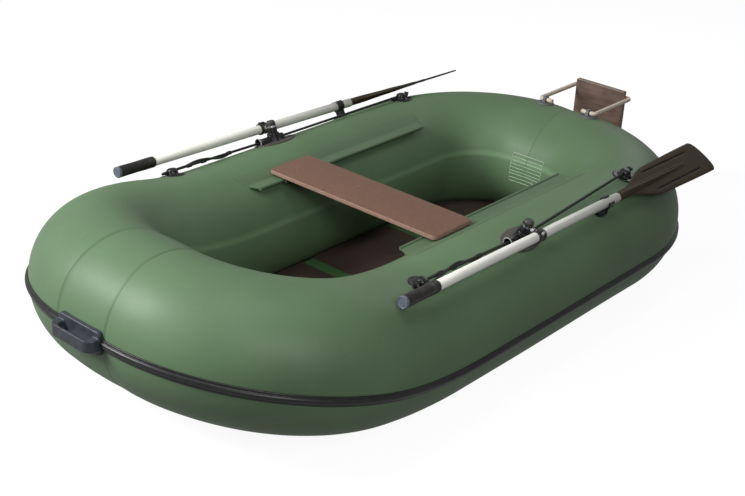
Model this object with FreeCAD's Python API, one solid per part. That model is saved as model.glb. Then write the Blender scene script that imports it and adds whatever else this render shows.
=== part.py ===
import FreeCAD, Part
import math
import os

from FreeCAD import Vector

# An inflatable rowing dinghy with a hung-on transom. Millimetres, +X to the bow, +Y to port, +Z up.
# Everything is laid out from the after end of the straight side, and shifted at the end so that the
# origin lies on the floor below the middle of the boat.

# Buoyancy tube
tube_radius = 185.0
half_beam = 392.0
side_length = 814.0
stern_across = 50.0
stern_corner_radius = half_beam - stern_across
bow_rise_radius = 1179.0
bow_rise_angle = 12.5
bow_side_length = 4.0
bow_across = 66.0
bow_corner_radius = half_beam - bow_across
corner_gore_count = 6
rise_gore_count = 3

# Rub rail
rail_below_middle = 9.2
rail_height = 27.0
rail_thickness = 3.0
rail_core = 5.5
rail_core_width = 15.0

# Glued pieces start this deep inside the tube and are then cut to its surface
sink = 20.0

# Bottom sheet and floor
sheet_attach_angle = 35.0
sheet_thickness = 1.5
sheet_lap = 8.0
floor_thickness = 9.0
floor_edge_gap = 3.0
floor_joint_gap = 3.0
floor_bow_past = 4.0
floor_joint_bow = 563.0
floor_middle_length = 382.0
hinge_strip_width = 42.0
hinge_strip_thickness = 1.0
floor_lay_gap = 0.2

# Seat rails on the tubes, placed from the seat's end
seat_end_inset = 86.0
seat_rail_start = 20.0
seat_rail_end_gap = 6.0
seat_rail_strip_top = 19.0
seat_rail_strip_thickness = 2.0
seat_rail_strip_below = 4.0
seat_rail_web = 2.5
seat_bead_radius = 5.0
seat_bead_inset = 48.0
seat_rail_end_cut = 38.0

# Seat
seat_centre = 609.0
seat_width = 162.0
seat_thickness = 13.0
seat_corner_radius = 14.0
seat_edge_chamfer = 2.5
seat_clearance = 0.8
seat_track_length = 138.0
seat_track_width = 21.0
seat_track_wall = 4.0
seat_track_clearance = 0.5

# Rowlock, seated on the tube's shoulder
rowlock_station = 517.0
rowlock_around = 20.5
rowlock_pad_length = 152.0
rowlock_pad_width = 86.0
pad_thickness = 3.0
pad_side_count = 20
rowlock_post_radius = 19.0
rowlock_post_height = 27.0
rowlock_tunnel_radius = 10.5
rowlock_tunnel_height = 9.5
rowlock_tunnel_back = 36.0
rowlock_flare_start = 62.0
rowlock_mouth_front = 82.0
rowlock_mouth_radius = 13.5
rowlock_mouth_height = 10.5
rowlock_mouth_wall = 2.5
rowlock_mouth_depth = 34.0
rowlock_rim_length = 4.0
rowlock_rim_step = 1.5
rowlock_pin_radius = 6.0
rowlock_pin_depth = 9.0
rowlock_pin_clearance = 0.3
rowlock_pin_step = 0.5
rowlock_hub_radius = 15.0
rowlock_hub_height = 25.0
rowlock_knob_radius = 14.0
rowlock_knob_height = 13.0
rowlock_knob_top = 9.0
rowlock_arm_radius = 5.5
rowlock_washer_radius = 9.0
rowlock_washer_thickness = 3.0
rowlock_washer_gap = 3.0

# Oar
oar_height = 42.0
oar_offset = 41.0
oar_pitch = 1.5
shaft_radius = 13.5
shaft_front = 430.0
shaft_back = 388.0
grip_radius = 16.0
grip_length = 117.0
grip_cap_length = 9.0
collar_radius = 15.5
collar_length = 32.0
collar_lobe_radius = 17.5
collar_lobe_length = 11.0
collar_lug_length = 18.0
collar_lug_height = 11.0
collar_bolt_radius = 6.5
collar_bolt_length = 5.0
blade_length = 527.0
blade_width = 106.0
blade_thickness = 5.0
blade_shoulder = 205.0
blade_shoulder_width = 95.0
blade_neck_width = 32.0
blade_tip_bow = 10.0
blade_spine_length = 400.0
spine_side_count = 8
blade_turn = 10.0
blade_groove_width = 5.0
blade_groove_depth = 1.2
blade_groove_start = 215.0
blade_groove_end = 470.0
blade_groove_out = 31.0

# Oar clip
clip_station = 183.0
clip_length = 24.0
clip_wall = 5.0
clip_clearance = 0.3
clip_opening = 42.0
clip_stem_width = 20.0
clip_pad_length = 84.0
clip_pad_width = 58.0

# Rope eyelets and life line
rope_radius = 4.0
rope_bore_clearance = 1.5
eyelet_pad_radius = 35.0
eyelet_dome_radius = 17.0
eyelet_dome_height = 22.0
eyelet_dome_shoulder = 12.0
eyelet_dome_top = 10.0
eyelet_bore_height = 13.0
eyelet_bow_ahead = 131.0
eyelet_bow_around = 19.0
eyelet_stern_station = -34.0
eyelet_stern_around = 11.5
rope_side_count = 12
rope_knot_radius = 7.0
rope_knot_gap = 1.5
rope_knot_length = 14.0
rope_splice_radius = 6.5
rope_splice_start = 60.0
rope_splice_length = 165.0

# Bow handle
handle_length = 210.0
handle_height = 34.0
handle_base_height = 56.0
handle_base_cover = 2.0
handle_bar = 9.0
handle_end = 36.0
handle_reach = 42.0
handle_outer_bend = 25.0
handle_inner_bend = 18.0

# Hung-on transom
transom_gap = 36.0
transom_thickness = 18.0
transom_half_width = 93.0
transom_top = 407.0
transom_bottom = 62.0
transom_corner_radius = 22.0
frame_radius = 7.0
frame_side_count = 16
frame_bend_radius = 12.0
frame_bend_gore_count = 3
frame_side_gap = 5.0
frame_end_inboard = 58.0
frame_bracket_rise = 13.0
frame_upper_back = 29.0
frame_lower_height = 98.0
bracket_ear = 11.0
bracket_ear_width = 26.0
bracket_pad_radius = 30.0
bracket_foot_thickness = 4.0
bracket_from_centre = 84.0
bracket_clearance = 0.3
transom_pad_width = 150.0
transom_pad_height = 96.0
transom_pad_thickness = 4.0
frame_clip_width = 16.0
frame_clip_wall = 3.0
frame_clip_from_centre = 48.0
frame_clip_foot = 35.0
motor_pad_below_frame = 21.0

# Inflation valves, on the inside of the port tube
valve_radius = 28.0
valve_rim_thickness = 3.0
valve_cap_radius = 17.0
valve_cap_height = 7.0
valve_around = -72.0
valve_stations = (150.0, 700.0)

Z = Vector(0, 0, 1)
port_line = Vector(0, half_beam, tube_radius)
rise_axis = Vector(side_length, 0, tube_radius + bow_rise_radius)
stern_corner = Vector(0, half_beam - stern_corner_radius, 0)
bow_corner = Vector(side_length + bow_side_length, half_beam - bow_corner_radius, 0)


def join(solids):
    """One solid from solids that touch."""
    whole = solids[0].multiFuse(solids[1:]) if len(solids) > 1 else solids[0]
    whole = whole.removeSplitter()
    return whole.Solids[0] if len(whole.Solids) == 1 else whole


def mirrored(shape):
    """The starboard twin of a port piece."""
    return shape.mirror(Vector(0, 0, 0), Vector(0, 1, 0))


def disc(centre, normal, radius):
    """A flat round face."""
    return Part.Face(Part.Wire(Part.makeCircle(radius, centre, normal)))


def rounded_plate(length, width, height, radius):
    """A plate on the XY plane, centred, with rounded upright corners."""
    plate = Part.makeBox(length, width, height, Vector(-length / 2, -width / 2, 0))
    upright = [e for e in plate.Edges if abs(e.tangentAt(e.FirstParameter).z) > 0.9]
    return plate.makeFillet(radius, upright)


def ring(centre, way, radius, sides):
    """The corners of a many-sided ring across a direction."""
    turned = FreeCAD.Rotation(Z, way)
    corners = []
    for side in range(sides):
        angle = 2 * math.pi * (side + 0.5) / sides
        spoke = Vector(radius * math.cos(angle), radius * math.sin(angle), 0)
        corners.append(centre + turned.multVec(spoke))
    return corners


def drum(start, way, length, radius, end_radius=None, sides=24):
    """A small round or tapered piece with many flat sides, which keeps the fittings light."""
    end = start + Vector(way).normalize() * length
    low = ring(start, way, radius, sides)
    high = ring(end, way, end_radius or radius, sides)
    loops = [low, high]
    for side in range(sides):
        after = (side + 1) % sides
        loops.append([low[side], low[after], high[after], high[side]])
    faces = [Part.Face(Part.makePolygon(loop + loop[:1])) for loop in loops]
    body = Part.makeSolid(Part.makeShell(faces))
    return body if body.Volume > 0 else body.reversed()


def to_bow(shape):
    """Turns a piece laid out level, forward of the straight side, up into the raised bow."""
    return shape.rotated(rise_axis, Vector(0, -1, 0), bow_rise_angle)


def turn(face, way, base, axis, angle, gores):
    """Sweeps a section round a bend as straight gores with mitred seams."""
    half = angle / gores / 2
    far = max(v.Point.distanceToPoint(base) for v in face.Vertexes) + 2 * tube_radius
    prism = face.extrude(way * (far * math.tan(math.radians(half)) + 1.0))
    beyond = Part.makeBox(2 * far, 4 * far, 4 * far, Vector(0, -2 * far, -2 * far))
    beyond.Placement = FreeCAD.Placement(base, FreeCAD.Rotation(Vector(1, 0, 0), way))
    first = prism.cut(beyond.rotated(base, axis, half))
    last = first.mirror(base, way)
    pieces = []
    for gore in range(gores):
        pieces.append(first.rotated(base, axis, 2 * half * gore))
        pieces.append(last.rotated(base, axis, 2 * half * (gore + 1)))
    return pieces


def spans(face):
    """Sweeps a section of the port side along each stretch of the tube's line."""
    ahead = Vector(1, 0, 0)
    level = face.extrude(ahead * side_length)
    corner = turn(face, -ahead, stern_corner, Z, 90, corner_gore_count)
    across = face.rotated(stern_corner, Z, 90).extrude(Vector(0, -stern_corner.y, 0))
    forward = face.translated(ahead * side_length)
    rise = turn(forward, ahead, rise_axis, Vector(0, -1, 0), bow_rise_angle, rise_gore_count)
    bow_side = forward.extrude(ahead * bow_side_length)
    at_corner = forward.translated(ahead * bow_side_length)
    bow_turn = turn(at_corner, ahead, bow_corner, -Z, 90, corner_gore_count)
    nose = at_corner.rotated(bow_corner, Z, -90).extrude(Vector(0, -bow_corner.y, 0))
    return {
        "side": [level] + rise,
        "stern": [across] + corner,
        "bow": [to_bow(piece) for piece in [bow_side] + bow_turn + [nose]],
    }


def both_sides(solids):
    """One solid from the port solids and their starboard twins."""
    return join(solids + [mirrored(s) for s in solids])


def to_station(shape, station):
    """Carries a piece laid at the side's after end along the tube's line, around its bends."""
    rise_length = bow_rise_radius * math.radians(bow_rise_angle)
    if station < 0:
        return shape.rotated(stern_corner, Z, math.degrees(-station / stern_corner_radius))
    if station <= side_length:
        return shape.translated(Vector(station, 0, 0))
    turned = min(station - side_length, rise_length) / bow_rise_radius
    forward = side_length + max(0.0, station - side_length - rise_length)
    level = shape.translated(Vector(forward, 0, 0))
    return level.rotated(rise_axis, Vector(0, -1, 0), math.degrees(turned))


def on_tube(shape, station, around):
    """Seats a local piece, standing on z = 0 with y outboard, on the port tube."""
    stood = shape.translated(Vector(0, 0, tube_radius))
    leaned = stood.rotated(Vector(0, 0, 0), Vector(1, 0, 0), -around)
    return to_station(leaned.translated(port_line), station)


def point_on_tube(local, station, around):
    """Where a point of such a local piece comes to lie."""
    return on_tube(Part.Vertex(local), station, around).Point


def pad(length, width, thickness):
    """An oval reinforcing pad that wraps the tube, in the local frame of on_tube."""
    skin = Part.makeCylinder(
        tube_radius + thickness, 2 * length, Vector(-length, 0, -tube_radius), Vector(1, 0, 0)
    )
    edge = ring(Vector(0, 0, -2 * sink), Z, 0.5, pad_side_count)
    edge = [Vector(corner.x * length, corner.y * width, corner.z) for corner in edge]
    outline = Part.Face(Part.makePolygon(edge + edge[:1]))
    return outline.extrude(Vector(0, 0, 4 * sink)).common(skin)


def rope_between(start, end, radius):
    """A straight stretch of rope."""
    return drum(start, end - start, (end - start).Length, radius, sides=rope_side_count)


# Tube: four welded panels
tube_spans = spans(disc(port_line, Vector(1, 0, 0), tube_radius))
tube_port = join(tube_spans["side"])
tube_starboard = mirrored(tube_port)
tube_stern = both_sides(tube_spans["stern"])
tube_bow = both_sides(tube_spans["bow"])

# Rub rail: a rubber strip with a half-round core, glued on all round a little below the middle
rail_outline = [(-sink, -rail_height / 2), (rail_thickness, -rail_height / 2)]
for step in range(-3, 4):
    bulge = math.radians(30 * step)
    rail_outline.append(
        (rail_thickness + rail_core * math.cos(bulge), rail_core_width / 2 * math.sin(bulge))
    )
rail_outline += [(rail_thickness, rail_height / 2), (-sink, rail_height / 2)]
rail_points = [Vector(0, tube_radius + out, up) + port_line for out, up in rail_outline]
rail_profile = Part.Face(Part.makePolygon(rail_points + rail_points[:1])).extrude(Vector(1, 0, 0))
rail_profile = rail_profile.rotated(port_line, Vector(1, 0, 0), -rail_below_middle)
rail_profile = rail_profile.cut(Part.makeCylinder(tube_radius, 1, port_line, Vector(1, 0, 0)))
rail_section = [f for f in rail_profile.Faces if f.CenterOfMass.x < 0.001][0]
rail_spans = spans(rail_section)
rub_rail = both_sides(rail_spans["side"] + rail_spans["stern"] + rail_spans["bow"])

# Bottom sheet, glued to the underside of the tube on its inner side
sheet_top = tube_radius * (1 - math.cos(math.radians(sheet_attach_angle)))
sheet_inset = tube_radius * math.sin(math.radians(sheet_attach_angle)) - sheet_lap


def deck(inset, start, end, bottom, top):
    """A level plate inside the tube, from start to end, with the stern's corners where it meets them."""
    width = 2 * (half_beam - inset)
    corner = stern_corner_radius - inset
    outline = rounded_plate(3 * side_length, width, top - bottom, corner)
    outline.translate(Vector(1.5 * side_length - corner, 0, bottom))
    window = Part.makeBox(
        end - start, width + 2, top - bottom, Vector(start, -width / 2 - 1, bottom)
    )
    return outline.common(window)


sheet_width = 2 * (half_beam - sheet_inset)
sheet_stern = -(stern_corner_radius - sheet_inset)
sheet_level = deck(sheet_inset, sheet_stern, side_length, sheet_top - sheet_thickness, sheet_top)
sheet_edge = [
    f for f in sheet_level.Faces if abs(f.CenterOfMass.x - side_length) < 0.001
][0]
sheet_rise = turn(
    sheet_edge, Vector(1, 0, 0), rise_axis, Vector(0, -1, 0), bow_rise_angle, rise_gore_count
)
sheet_bow = rounded_plate(
    3 * side_length, sheet_width, sheet_thickness, bow_corner_radius - sheet_inset
)
sheet_bow.translate(
    Vector(bow_corner.x + bow_corner_radius - sheet_inset - 1.5 * side_length, 0,
           sheet_top - sheet_thickness)
)
sheet_bow = sheet_bow.common(
    Part.makeBox(side_length, sheet_width + 2, sheet_thickness,
                 Vector(side_length, -sheet_width / 2 - 1, sheet_top - sheet_thickness))
)
bottom_sheet = join([sheet_level, to_bow(sheet_bow)] + sheet_rise)
bottom_sheet = bottom_sheet.cut(tube_port).cut(tube_starboard).cut(tube_stern).cut(tube_bow)

# Floor: three plywood panels, hinged by glued cloth strips
floor_bottom = sheet_top + floor_lay_gap
floor_top = floor_bottom + floor_thickness
floor_inset = math.sqrt(tube_radius**2 - (tube_radius - floor_top) ** 2) + floor_edge_gap
floor_stern_end = -(stern_corner_radius - floor_inset)
floor_joint_stern = floor_joint_bow - floor_joint_gap - floor_middle_length
floor_panel_bow = deck(
    floor_inset, floor_joint_bow, side_length + floor_bow_past, floor_bottom, floor_top
)
floor_panel_middle = deck(
    floor_inset, floor_joint_stern, floor_joint_bow - floor_joint_gap, floor_bottom, floor_top
)
floor_panel_stern = deck(
    floor_inset, floor_stern_end, floor_joint_stern - floor_joint_gap, floor_bottom, floor_top
)
hinge_strips = []
for joint in (floor_joint_bow, floor_joint_stern):
    strip_length = 2 * (half_beam - floor_inset - floor_edge_gap)
    strip = Part.makeBox(
        hinge_strip_width,
        strip_length,
        hinge_strip_thickness,
        Vector(joint - (floor_joint_gap + hinge_strip_width) / 2, -strip_length / 2, floor_top),
    )
    hinge_strips.append(strip)

# Seat rails: a glued strip, a web and a bead that the seat's tracks slide on
plank_end = half_beam - seat_end_inset
seat_length = 2 * plank_end
strip_radius = tube_radius + seat_rail_strip_thickness
plank_bottom = (
    tube_radius + math.sqrt(strip_radius**2 - (half_beam - plank_end) ** 2) + seat_clearance
)
bead_line = Vector(0, plank_end - seat_bead_inset, 0)
bead_line.z = plank_bottom - seat_track_wall - seat_bead_radius - seat_track_clearance
seat_rail_end = side_length - seat_rail_end_gap
rail_run = Vector(seat_rail_end - seat_rail_start, 0, 0)
rail_start = Vector(seat_rail_start, 0, 0)
web_outer = half_beam - math.sqrt(tube_radius**2 - (bead_line.z - tube_radius) ** 2)
strip_low = math.degrees(math.asin((half_beam - web_outer) / tube_radius)) + seat_rail_strip_below
strip_ring = Part.makeCylinder(
    strip_radius, rail_run.x, rail_start + port_line, Vector(1, 0, 0)
)
reach = 2 * tube_radius
wedge = Part.Face(Part.makePolygon([
    rail_start + port_line,
    rail_start + port_line + Vector(0, -reach * math.sin(math.radians(seat_rail_strip_top)),
                                    reach * math.cos(math.radians(seat_rail_strip_top))),
    rail_start + port_line + Vector(0, -reach * math.sin(math.radians(strip_low)),
                                    reach * math.cos(math.radians(strip_low))),
    rail_start + port_line,
])).extrude(rail_run)
rail_strip = strip_ring.common(wedge)
rail_web = Part.makeBox(
    rail_run.x,
    web_outer - bead_line.y + sink,
    seat_rail_web,
    rail_start + Vector(0, bead_line.y, bead_line.z - seat_rail_web / 2),
)
rail_bead = Part.makeCylinder(
    seat_bead_radius, rail_run.x, rail_start + bead_line, Vector(1, 0, 0)
)
seat_rail_port = join([rail_strip, rail_web, rail_bead])
for end, way in ((seat_rail_start, 1), (seat_rail_end, -1)):
    cut_inner = bead_line.y - seat_bead_radius - 1.0
    cut_outer = half_beam - tube_radius * math.sin(math.radians(seat_rail_strip_top))
    slant = Part.Face(Part.makePolygon([
        Vector(end - way, cut_inner, 0),
        Vector(end + way * seat_rail_end_cut, cut_inner, 0),
        Vector(end - way, cut_outer, 0),
        Vector(end - way, cut_inner, 0),
    ])).extrude(Vector(0, 0, 3 * tube_radius))
    seat_rail_port = seat_rail_port.cut(slant)
seat_rail_port = seat_rail_port.cut(tube_port)
seat_rail_starboard = mirrored(seat_rail_port)

# Seat: a plank on two tracks that grip the beads
seat_plank = rounded_plate(seat_width, seat_length, seat_thickness, seat_corner_radius)
rims = [
    e for e in seat_plank.Edges
    if abs(e.BoundBox.ZLength) < 0.001
]
seat_plank = seat_plank.makeChamfer(seat_edge_chamfer, rims)
seat_plank.translate(Vector(seat_centre, 0, plank_bottom))
track_depth = plank_bottom - bead_line.z + seat_bead_radius + seat_track_clearance + seat_track_wall
track = Part.makeBox(
    seat_track_length,
    seat_track_width,
    track_depth,
    Vector(-seat_track_length / 2, bead_line.y - seat_track_width / 2, plank_bottom - track_depth),
)
track = track.cut(
    Part.makeCylinder(
        seat_bead_radius + seat_track_clearance,
        seat_track_length,
        bead_line - Vector(seat_track_length / 2, 0, 0),
        Vector(1, 0, 0),
    )
)
slot_height = seat_rail_web + 4 * seat_track_clearance
track = track.cut(
    Part.makeBox(
        seat_track_length,
        seat_track_width,
        slot_height,
        Vector(-seat_track_length / 2, bead_line.y, bead_line.z - slot_height / 2),
    )
)
track.translate(Vector(seat_centre, 0, 0))

# Life line: from the bow eyelet, through the rowlock's tunnel, to the stern eyelet
eyelet_bow_station = side_length + eyelet_bow_ahead
bow_eye = point_on_tube(Vector(0, 0, eyelet_bore_height), eyelet_bow_station, eyelet_bow_around)
stern_eye = point_on_tube(
    Vector(0, 0, eyelet_bore_height), eyelet_stern_station, eyelet_stern_around
)
tunnel_front = point_on_tube(
    Vector(rowlock_mouth_front, 0, rowlock_tunnel_height), rowlock_station, rowlock_around
)
tunnel_back = point_on_tube(
    Vector(-rowlock_tunnel_back, 0, rowlock_tunnel_height), rowlock_station, rowlock_around
)
eye_reach = eyelet_dome_radius + rope_knot_length / 2 + rope_knot_gap
bow_way = (bow_eye - tunnel_front).normalize()
stern_way = (stern_eye - tunnel_back).normalize()
rope_bow_end = bow_eye + bow_way * eye_reach
rope_stern_end = stern_eye + stern_way * eye_reach
rope_points = [rope_bow_end, tunnel_front, tunnel_back, rope_stern_end]


def along_rope(radius):
    """The life line's route as a round bar."""
    bars = []
    for start, end in zip(rope_points, rope_points[1:]):
        lap = (end - start).normalize() * (radius / 4)
        bars.append(rope_between(start - lap, end + lap, radius))
    return join(bars)


rope_bore = along_rope(rope_radius + rope_bore_clearance)
splice_start = bow_eye - bow_way * rope_splice_start
splice_end = splice_start - bow_way * rope_splice_length
lifeline_port = join([
    along_rope(rope_radius),
    rope_between(splice_start, splice_end, rope_splice_radius),
    rope_between(rope_bow_end - bow_way * rope_knot_length / 2,
        rope_bow_end + bow_way * rope_knot_length / 2, rope_knot_radius),
    rope_between(rope_stern_end - stern_way * rope_knot_length / 2,
        rope_stern_end + stern_way * rope_knot_length / 2, rope_knot_radius),
])


def eyelet(station, around):
    """A moulded rope eye on its pad."""
    shoulder = Vector(0, 0, eyelet_dome_shoulder)
    crown = eyelet_dome_height - eyelet_dome_shoulder
    dome = join([
        drum(Vector(0, 0, -sink), Z, sink + eyelet_dome_shoulder, eyelet_dome_radius),
        drum(shoulder, Z, crown, eyelet_dome_radius, eyelet_dome_top),
    ])
    body = dome.fuse(pad(2 * eyelet_pad_radius, 2 * eyelet_pad_radius, pad_thickness))
    seated = on_tube(body, station, around)
    seated = seated.cut(tube_port).cut(tube_stern).cut(tube_bow).cut(rope_bore)
    return join([max(seated.Solids, key=lambda s: s.Volume)])


eyelet_bow_port = eyelet(eyelet_bow_station, eyelet_bow_around)
eyelet_stern_port = eyelet(eyelet_stern_station, eyelet_stern_around)

# Rowlock base: pad, rope tunnel and pin post in one rubber moulding
hub_bottom = rowlock_post_height + rowlock_pin_clearance


def pitched(piece):
    """Tilts a piece of the rowlock or the oar with the shaft, which rises towards the bow."""
    return piece.rotated(Vector(0, 0, hub_bottom), Vector(0, 1, 0), -oar_pitch)


post = pitched(
    Part.makeCylinder(rowlock_post_radius, rowlock_post_height + sink, Vector(0, 0, -sink))
)


def tunnel_hull(stations):
    """A body over the rope: round above its centre line, straight-sided down into the tube."""
    edges = []
    for x, radius, height in stations:
        arch = [
            Vector(x, radius * math.cos(math.pi * k / 10), height + radius * math.sin(math.pi * k / 10))
            for k in range(11)
        ]
        edge = arch + [Vector(x, -radius, -sink), Vector(x, radius, -sink)]
        edges.append(Part.makePolygon(edge + edge[:1]))
    return Part.makeLoft(edges, True, True)


tunnel_width = (rowlock_tunnel_radius, rowlock_tunnel_height)
mouth_width = (rowlock_mouth_radius, rowlock_mouth_height)
rim_width = (rowlock_mouth_radius + rowlock_rim_step, rowlock_mouth_height)
tunnel = tunnel_hull([
    (-rowlock_tunnel_back, *tunnel_width),
    (rowlock_flare_start, *tunnel_width),
    (rowlock_mouth_front, *mouth_width),
])
mouth_rim = tunnel_hull([
    (rowlock_mouth_front - rowlock_rim_length, *rim_width),
    (rowlock_mouth_front, *rim_width),
])
mouth_hollow = drum(
    Vector(rowlock_mouth_front, 0, rowlock_mouth_height),
    Vector(-rowlock_mouth_depth, 0, rowlock_tunnel_height - rowlock_mouth_height),
    rowlock_mouth_depth,
    rowlock_mouth_radius - rowlock_mouth_wall,
    rope_radius,
)
rowlock_body = join([
    pad(rowlock_pad_length, rowlock_pad_width, pad_thickness),
    post,
    tunnel,
    mouth_rim,
]).cut(mouth_hollow)
pin_bore = Part.makeCylinder(
    rowlock_pin_radius + rowlock_pin_clearance,
    rowlock_pin_depth + 1.0,
    Vector(0, 0, rowlock_post_height - rowlock_pin_depth),
)
rowlock_body = rowlock_body.cut(pitched(pin_bore))
rowlock_base_port = on_tube(rowlock_body, rowlock_station, rowlock_around)
rowlock_base_port = join([rowlock_base_port.cut(tube_port).cut(rope_bore)])

# Oar, laid along local X with the rowlock pin on local Z, then pitched with the raised bow
hub_top = hub_bottom + rowlock_hub_height
shaft_line = Vector(0, oar_offset, oar_height)
along = Vector(1, 0, 0)
arm_line = Vector(0, 0, oar_height)
outboard = Vector(0, 1, 0)
arm = drum(arm_line, outboard, oar_offset, rowlock_arm_radius)
washers = [
    drum(
        arm_line + outboard * (oar_offset - collar_radius - reach_back),
        outboard,
        rowlock_washer_thickness,
        rowlock_washer_radius,
    )
    for reach_back in (0.0, rowlock_washer_thickness + rowlock_washer_gap)
]
collar_outside = drum(
    shaft_line - along * (collar_length / 2), along, collar_length, collar_radius
)
lobes = [
    drum(
        shaft_line + along * lobe_start, along, collar_lobe_length, collar_lobe_radius
    )
    for lobe_start in (-collar_length / 2, collar_length / 2 - collar_lobe_length)
]
yoke = join([
    drum(Vector(0, 0, hub_bottom), Z, rowlock_hub_height, rowlock_hub_radius),
    Part.makeCylinder(
        rowlock_pin_radius,
        rowlock_pin_depth,
        Vector(0, 0, hub_bottom - rowlock_pin_depth + rowlock_pin_step),
    ),
    arm,
    *washers,
]).cut(join([collar_outside] + lobes))
knob = join([
    drum(Vector(0, 0, hub_top), Z, rowlock_knob_height / 2, rowlock_knob_radius),
    drum(
        Vector(0, 0, hub_top + rowlock_knob_height / 2),
        Z,
        rowlock_knob_height / 2,
        rowlock_knob_radius,
        rowlock_knob_top,
    ),
])
shaft = Part.makeCylinder(
    shaft_radius, shaft_front + shaft_back, shaft_line - along * shaft_back, along
)
collar_lug = Part.makeBox(
    collar_lug_length,
    collar_bolt_radius * 2,
    collar_lug_height,
    shaft_line + Vector(-collar_lug_length / 2, 0, collar_radius * 0.6),
)
collar_bolt = drum(
    shaft_line + Vector(0, collar_bolt_radius * 2, collar_radius * 0.6 + collar_lug_height / 2),
    Vector(0, 1, 0),
    collar_bolt_length,
    collar_bolt_radius,
    sides=12,
)
collar = join([collar_outside, collar_lug, collar_bolt] + lobes).cut(
    Part.makeCylinder(shaft_radius, 2 * collar_length, shaft_line - along * collar_length, along)
)
grip = Part.makeCylinder(grip_radius, grip_length, shaft_line + along * shaft_front, along)
grip_cap = drum(
    shaft_line + along * (shaft_front + grip_length),
    along,
    grip_cap_length,
    grip_radius,
    grip_radius - grip_cap_length / 2,
)

# Blade: a moulded plate that widens from the shaft's end to the tip, with a spine on each face
half_neck = blade_neck_width / 2
half_blade = blade_width / 2
half_shoulder = blade_shoulder_width / 2
blade_corner = Vector(-blade_length + blade_tip_bow, half_blade, 0)
shoulder = Vector(-blade_shoulder, half_shoulder, 0)
flare = Part.makePolygon([
    Vector(0, half_neck, 0),
    Vector(-blade_shoulder * 0.42, half_neck * 1.1, 0),
    Vector(-blade_shoulder * 0.8, half_shoulder * 0.84, 0),
    shoulder,
    blade_corner,
])
tip = Part.Arc(
    blade_corner,
    Vector(-blade_length, 0, 0),
    Vector(blade_corner.x, -half_blade, 0),
).toShape()
other_flare = flare.mirror(Vector(0, 0, 0), Vector(0, 1, 0))
neck = Part.makeLine(Vector(0, -half_neck, 0), Vector(0, half_neck, 0))
blade_outline = Part.Wire(
    Part.__sortEdges__(flare.Edges + [tip] + other_flare.Edges + [neck])
)
blade_plate = Part.Face(blade_outline).extrude(Vector(0, 0, blade_thickness))
blade_plate.translate(Vector(0, 0, -blade_thickness / 2))
spine = drum(
    Vector(0, 0, 0),
    Vector(-1, 0, 0),
    blade_spine_length,
    shaft_radius,
    blade_thickness * 0.6,
    spine_side_count,
)
blade = join([blade_plate, spine])
for out in (-blade_groove_out, blade_groove_out):
    for face in (blade_thickness / 2 - blade_groove_depth, -blade_thickness / 2):
        groove = Part.makeBox(
            blade_groove_end - blade_groove_start,
            blade_groove_width,
            blade_groove_depth,
            Vector(-blade_groove_end, out - blade_groove_width / 2, face),
        )
        blade = blade.cut(groove)
blade = blade.rotated(Vector(0, 0, 0), along, -blade_turn)
blade.translate(shaft_line - along * shaft_back)


def hung_oar(piece):
    """Seats a piece of the oar in the port rowlock."""
    return on_tube(pitched(piece), rowlock_station, rowlock_around)


oar_pieces = {
    "rowlock_yoke": yoke,
    "rowlock_knob": knob,
    "oar_collar": collar,
    "oar_shaft": shaft,
    "oar_grip": grip,
    "oar_grip_cap": grip_cap,
    "oar_blade": blade,
}

# Oar clip: a rubber fork on the tube that holds the stowed shaft
clip_run = clip_station - rowlock_station
pitch = math.radians(oar_pitch)
shaft_at_clip = pitched(Part.Vertex(shaft_line + along * (clip_run / math.cos(pitch)))).Point
clip_radial = Vector(0, shaft_at_clip.y, shaft_at_clip.z + tube_radius)
clip_around = rowlock_around + math.degrees(math.atan2(clip_radial.y, clip_radial.z))
clip_height = clip_radial.Length - tube_radius
clip_inner = shaft_radius + clip_clearance
clip_outer = clip_inner + clip_wall
fork = Part.makeCylinder(
    clip_outer, clip_length, Vector(-clip_length / 2, 0, clip_height), along
)
stem = Part.makeBox(
    clip_length,
    clip_stem_width,
    clip_height + sink,
    Vector(-clip_length / 2, -clip_stem_width / 2, -sink),
)
mouth = Part.makeBox(
    clip_length + 2,
    2 * clip_inner * math.sin(math.radians(clip_opening)),
    3 * clip_outer,
    Vector(-clip_length / 2 - 1, -clip_inner * math.sin(math.radians(clip_opening)), clip_height),
)
clip_body = join([fork, stem, pad(clip_pad_length, clip_pad_width, pad_thickness)])
clip_body = clip_body.cut(mouth).cut(
    Part.makeCylinder(
        clip_inner, clip_length + 2, Vector(-clip_length / 2 - 1, 0, clip_height), along
    ).rotated(Vector(0, 0, clip_height), Vector(0, 1, 0), -oar_pitch)
)
oar_clip_port = on_tube(clip_body, clip_station, clip_around).cut(tube_port)
oar_clip_port = join([oar_clip_port])

# Bow handle: a moulded loop on a pad over the rub rail
nose_x = bow_corner.x + bow_corner_radius
nose_line = Vector(nose_x, 0, tube_radius)
handle_outside = Part.makeBox(
    handle_reach + sink,
    handle_length,
    handle_height,
    Vector(tube_radius - sink, -handle_length / 2, -handle_height / 2),
)
handle_outside = handle_outside.makeFillet(
    handle_outer_bend,
    [e for e in handle_outside.Edges
     if abs(e.tangentAt(e.FirstParameter).z) > 0.9 and e.CenterOfMass.x > tube_radius],
)
finger_gap = Part.makeBox(
    handle_reach + sink - handle_bar,
    handle_length - 2 * handle_end,
    handle_height + 2,
    Vector(tube_radius - sink, -handle_length / 2 + handle_end, -handle_height / 2 - 1),
)
finger_gap = finger_gap.makeFillet(
    handle_inner_bend,
    [e for e in finger_gap.Edges
     if abs(e.tangentAt(e.FirstParameter).z) > 0.9 and e.CenterOfMass.x > tube_radius],
)
handle_base = Part.makeBox(
    sink + rail_thickness + rail_core + handle_base_cover,
    handle_length,
    handle_base_height,
    Vector(tube_radius - sink, -handle_length / 2, -handle_base_height / 2),
)
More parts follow.
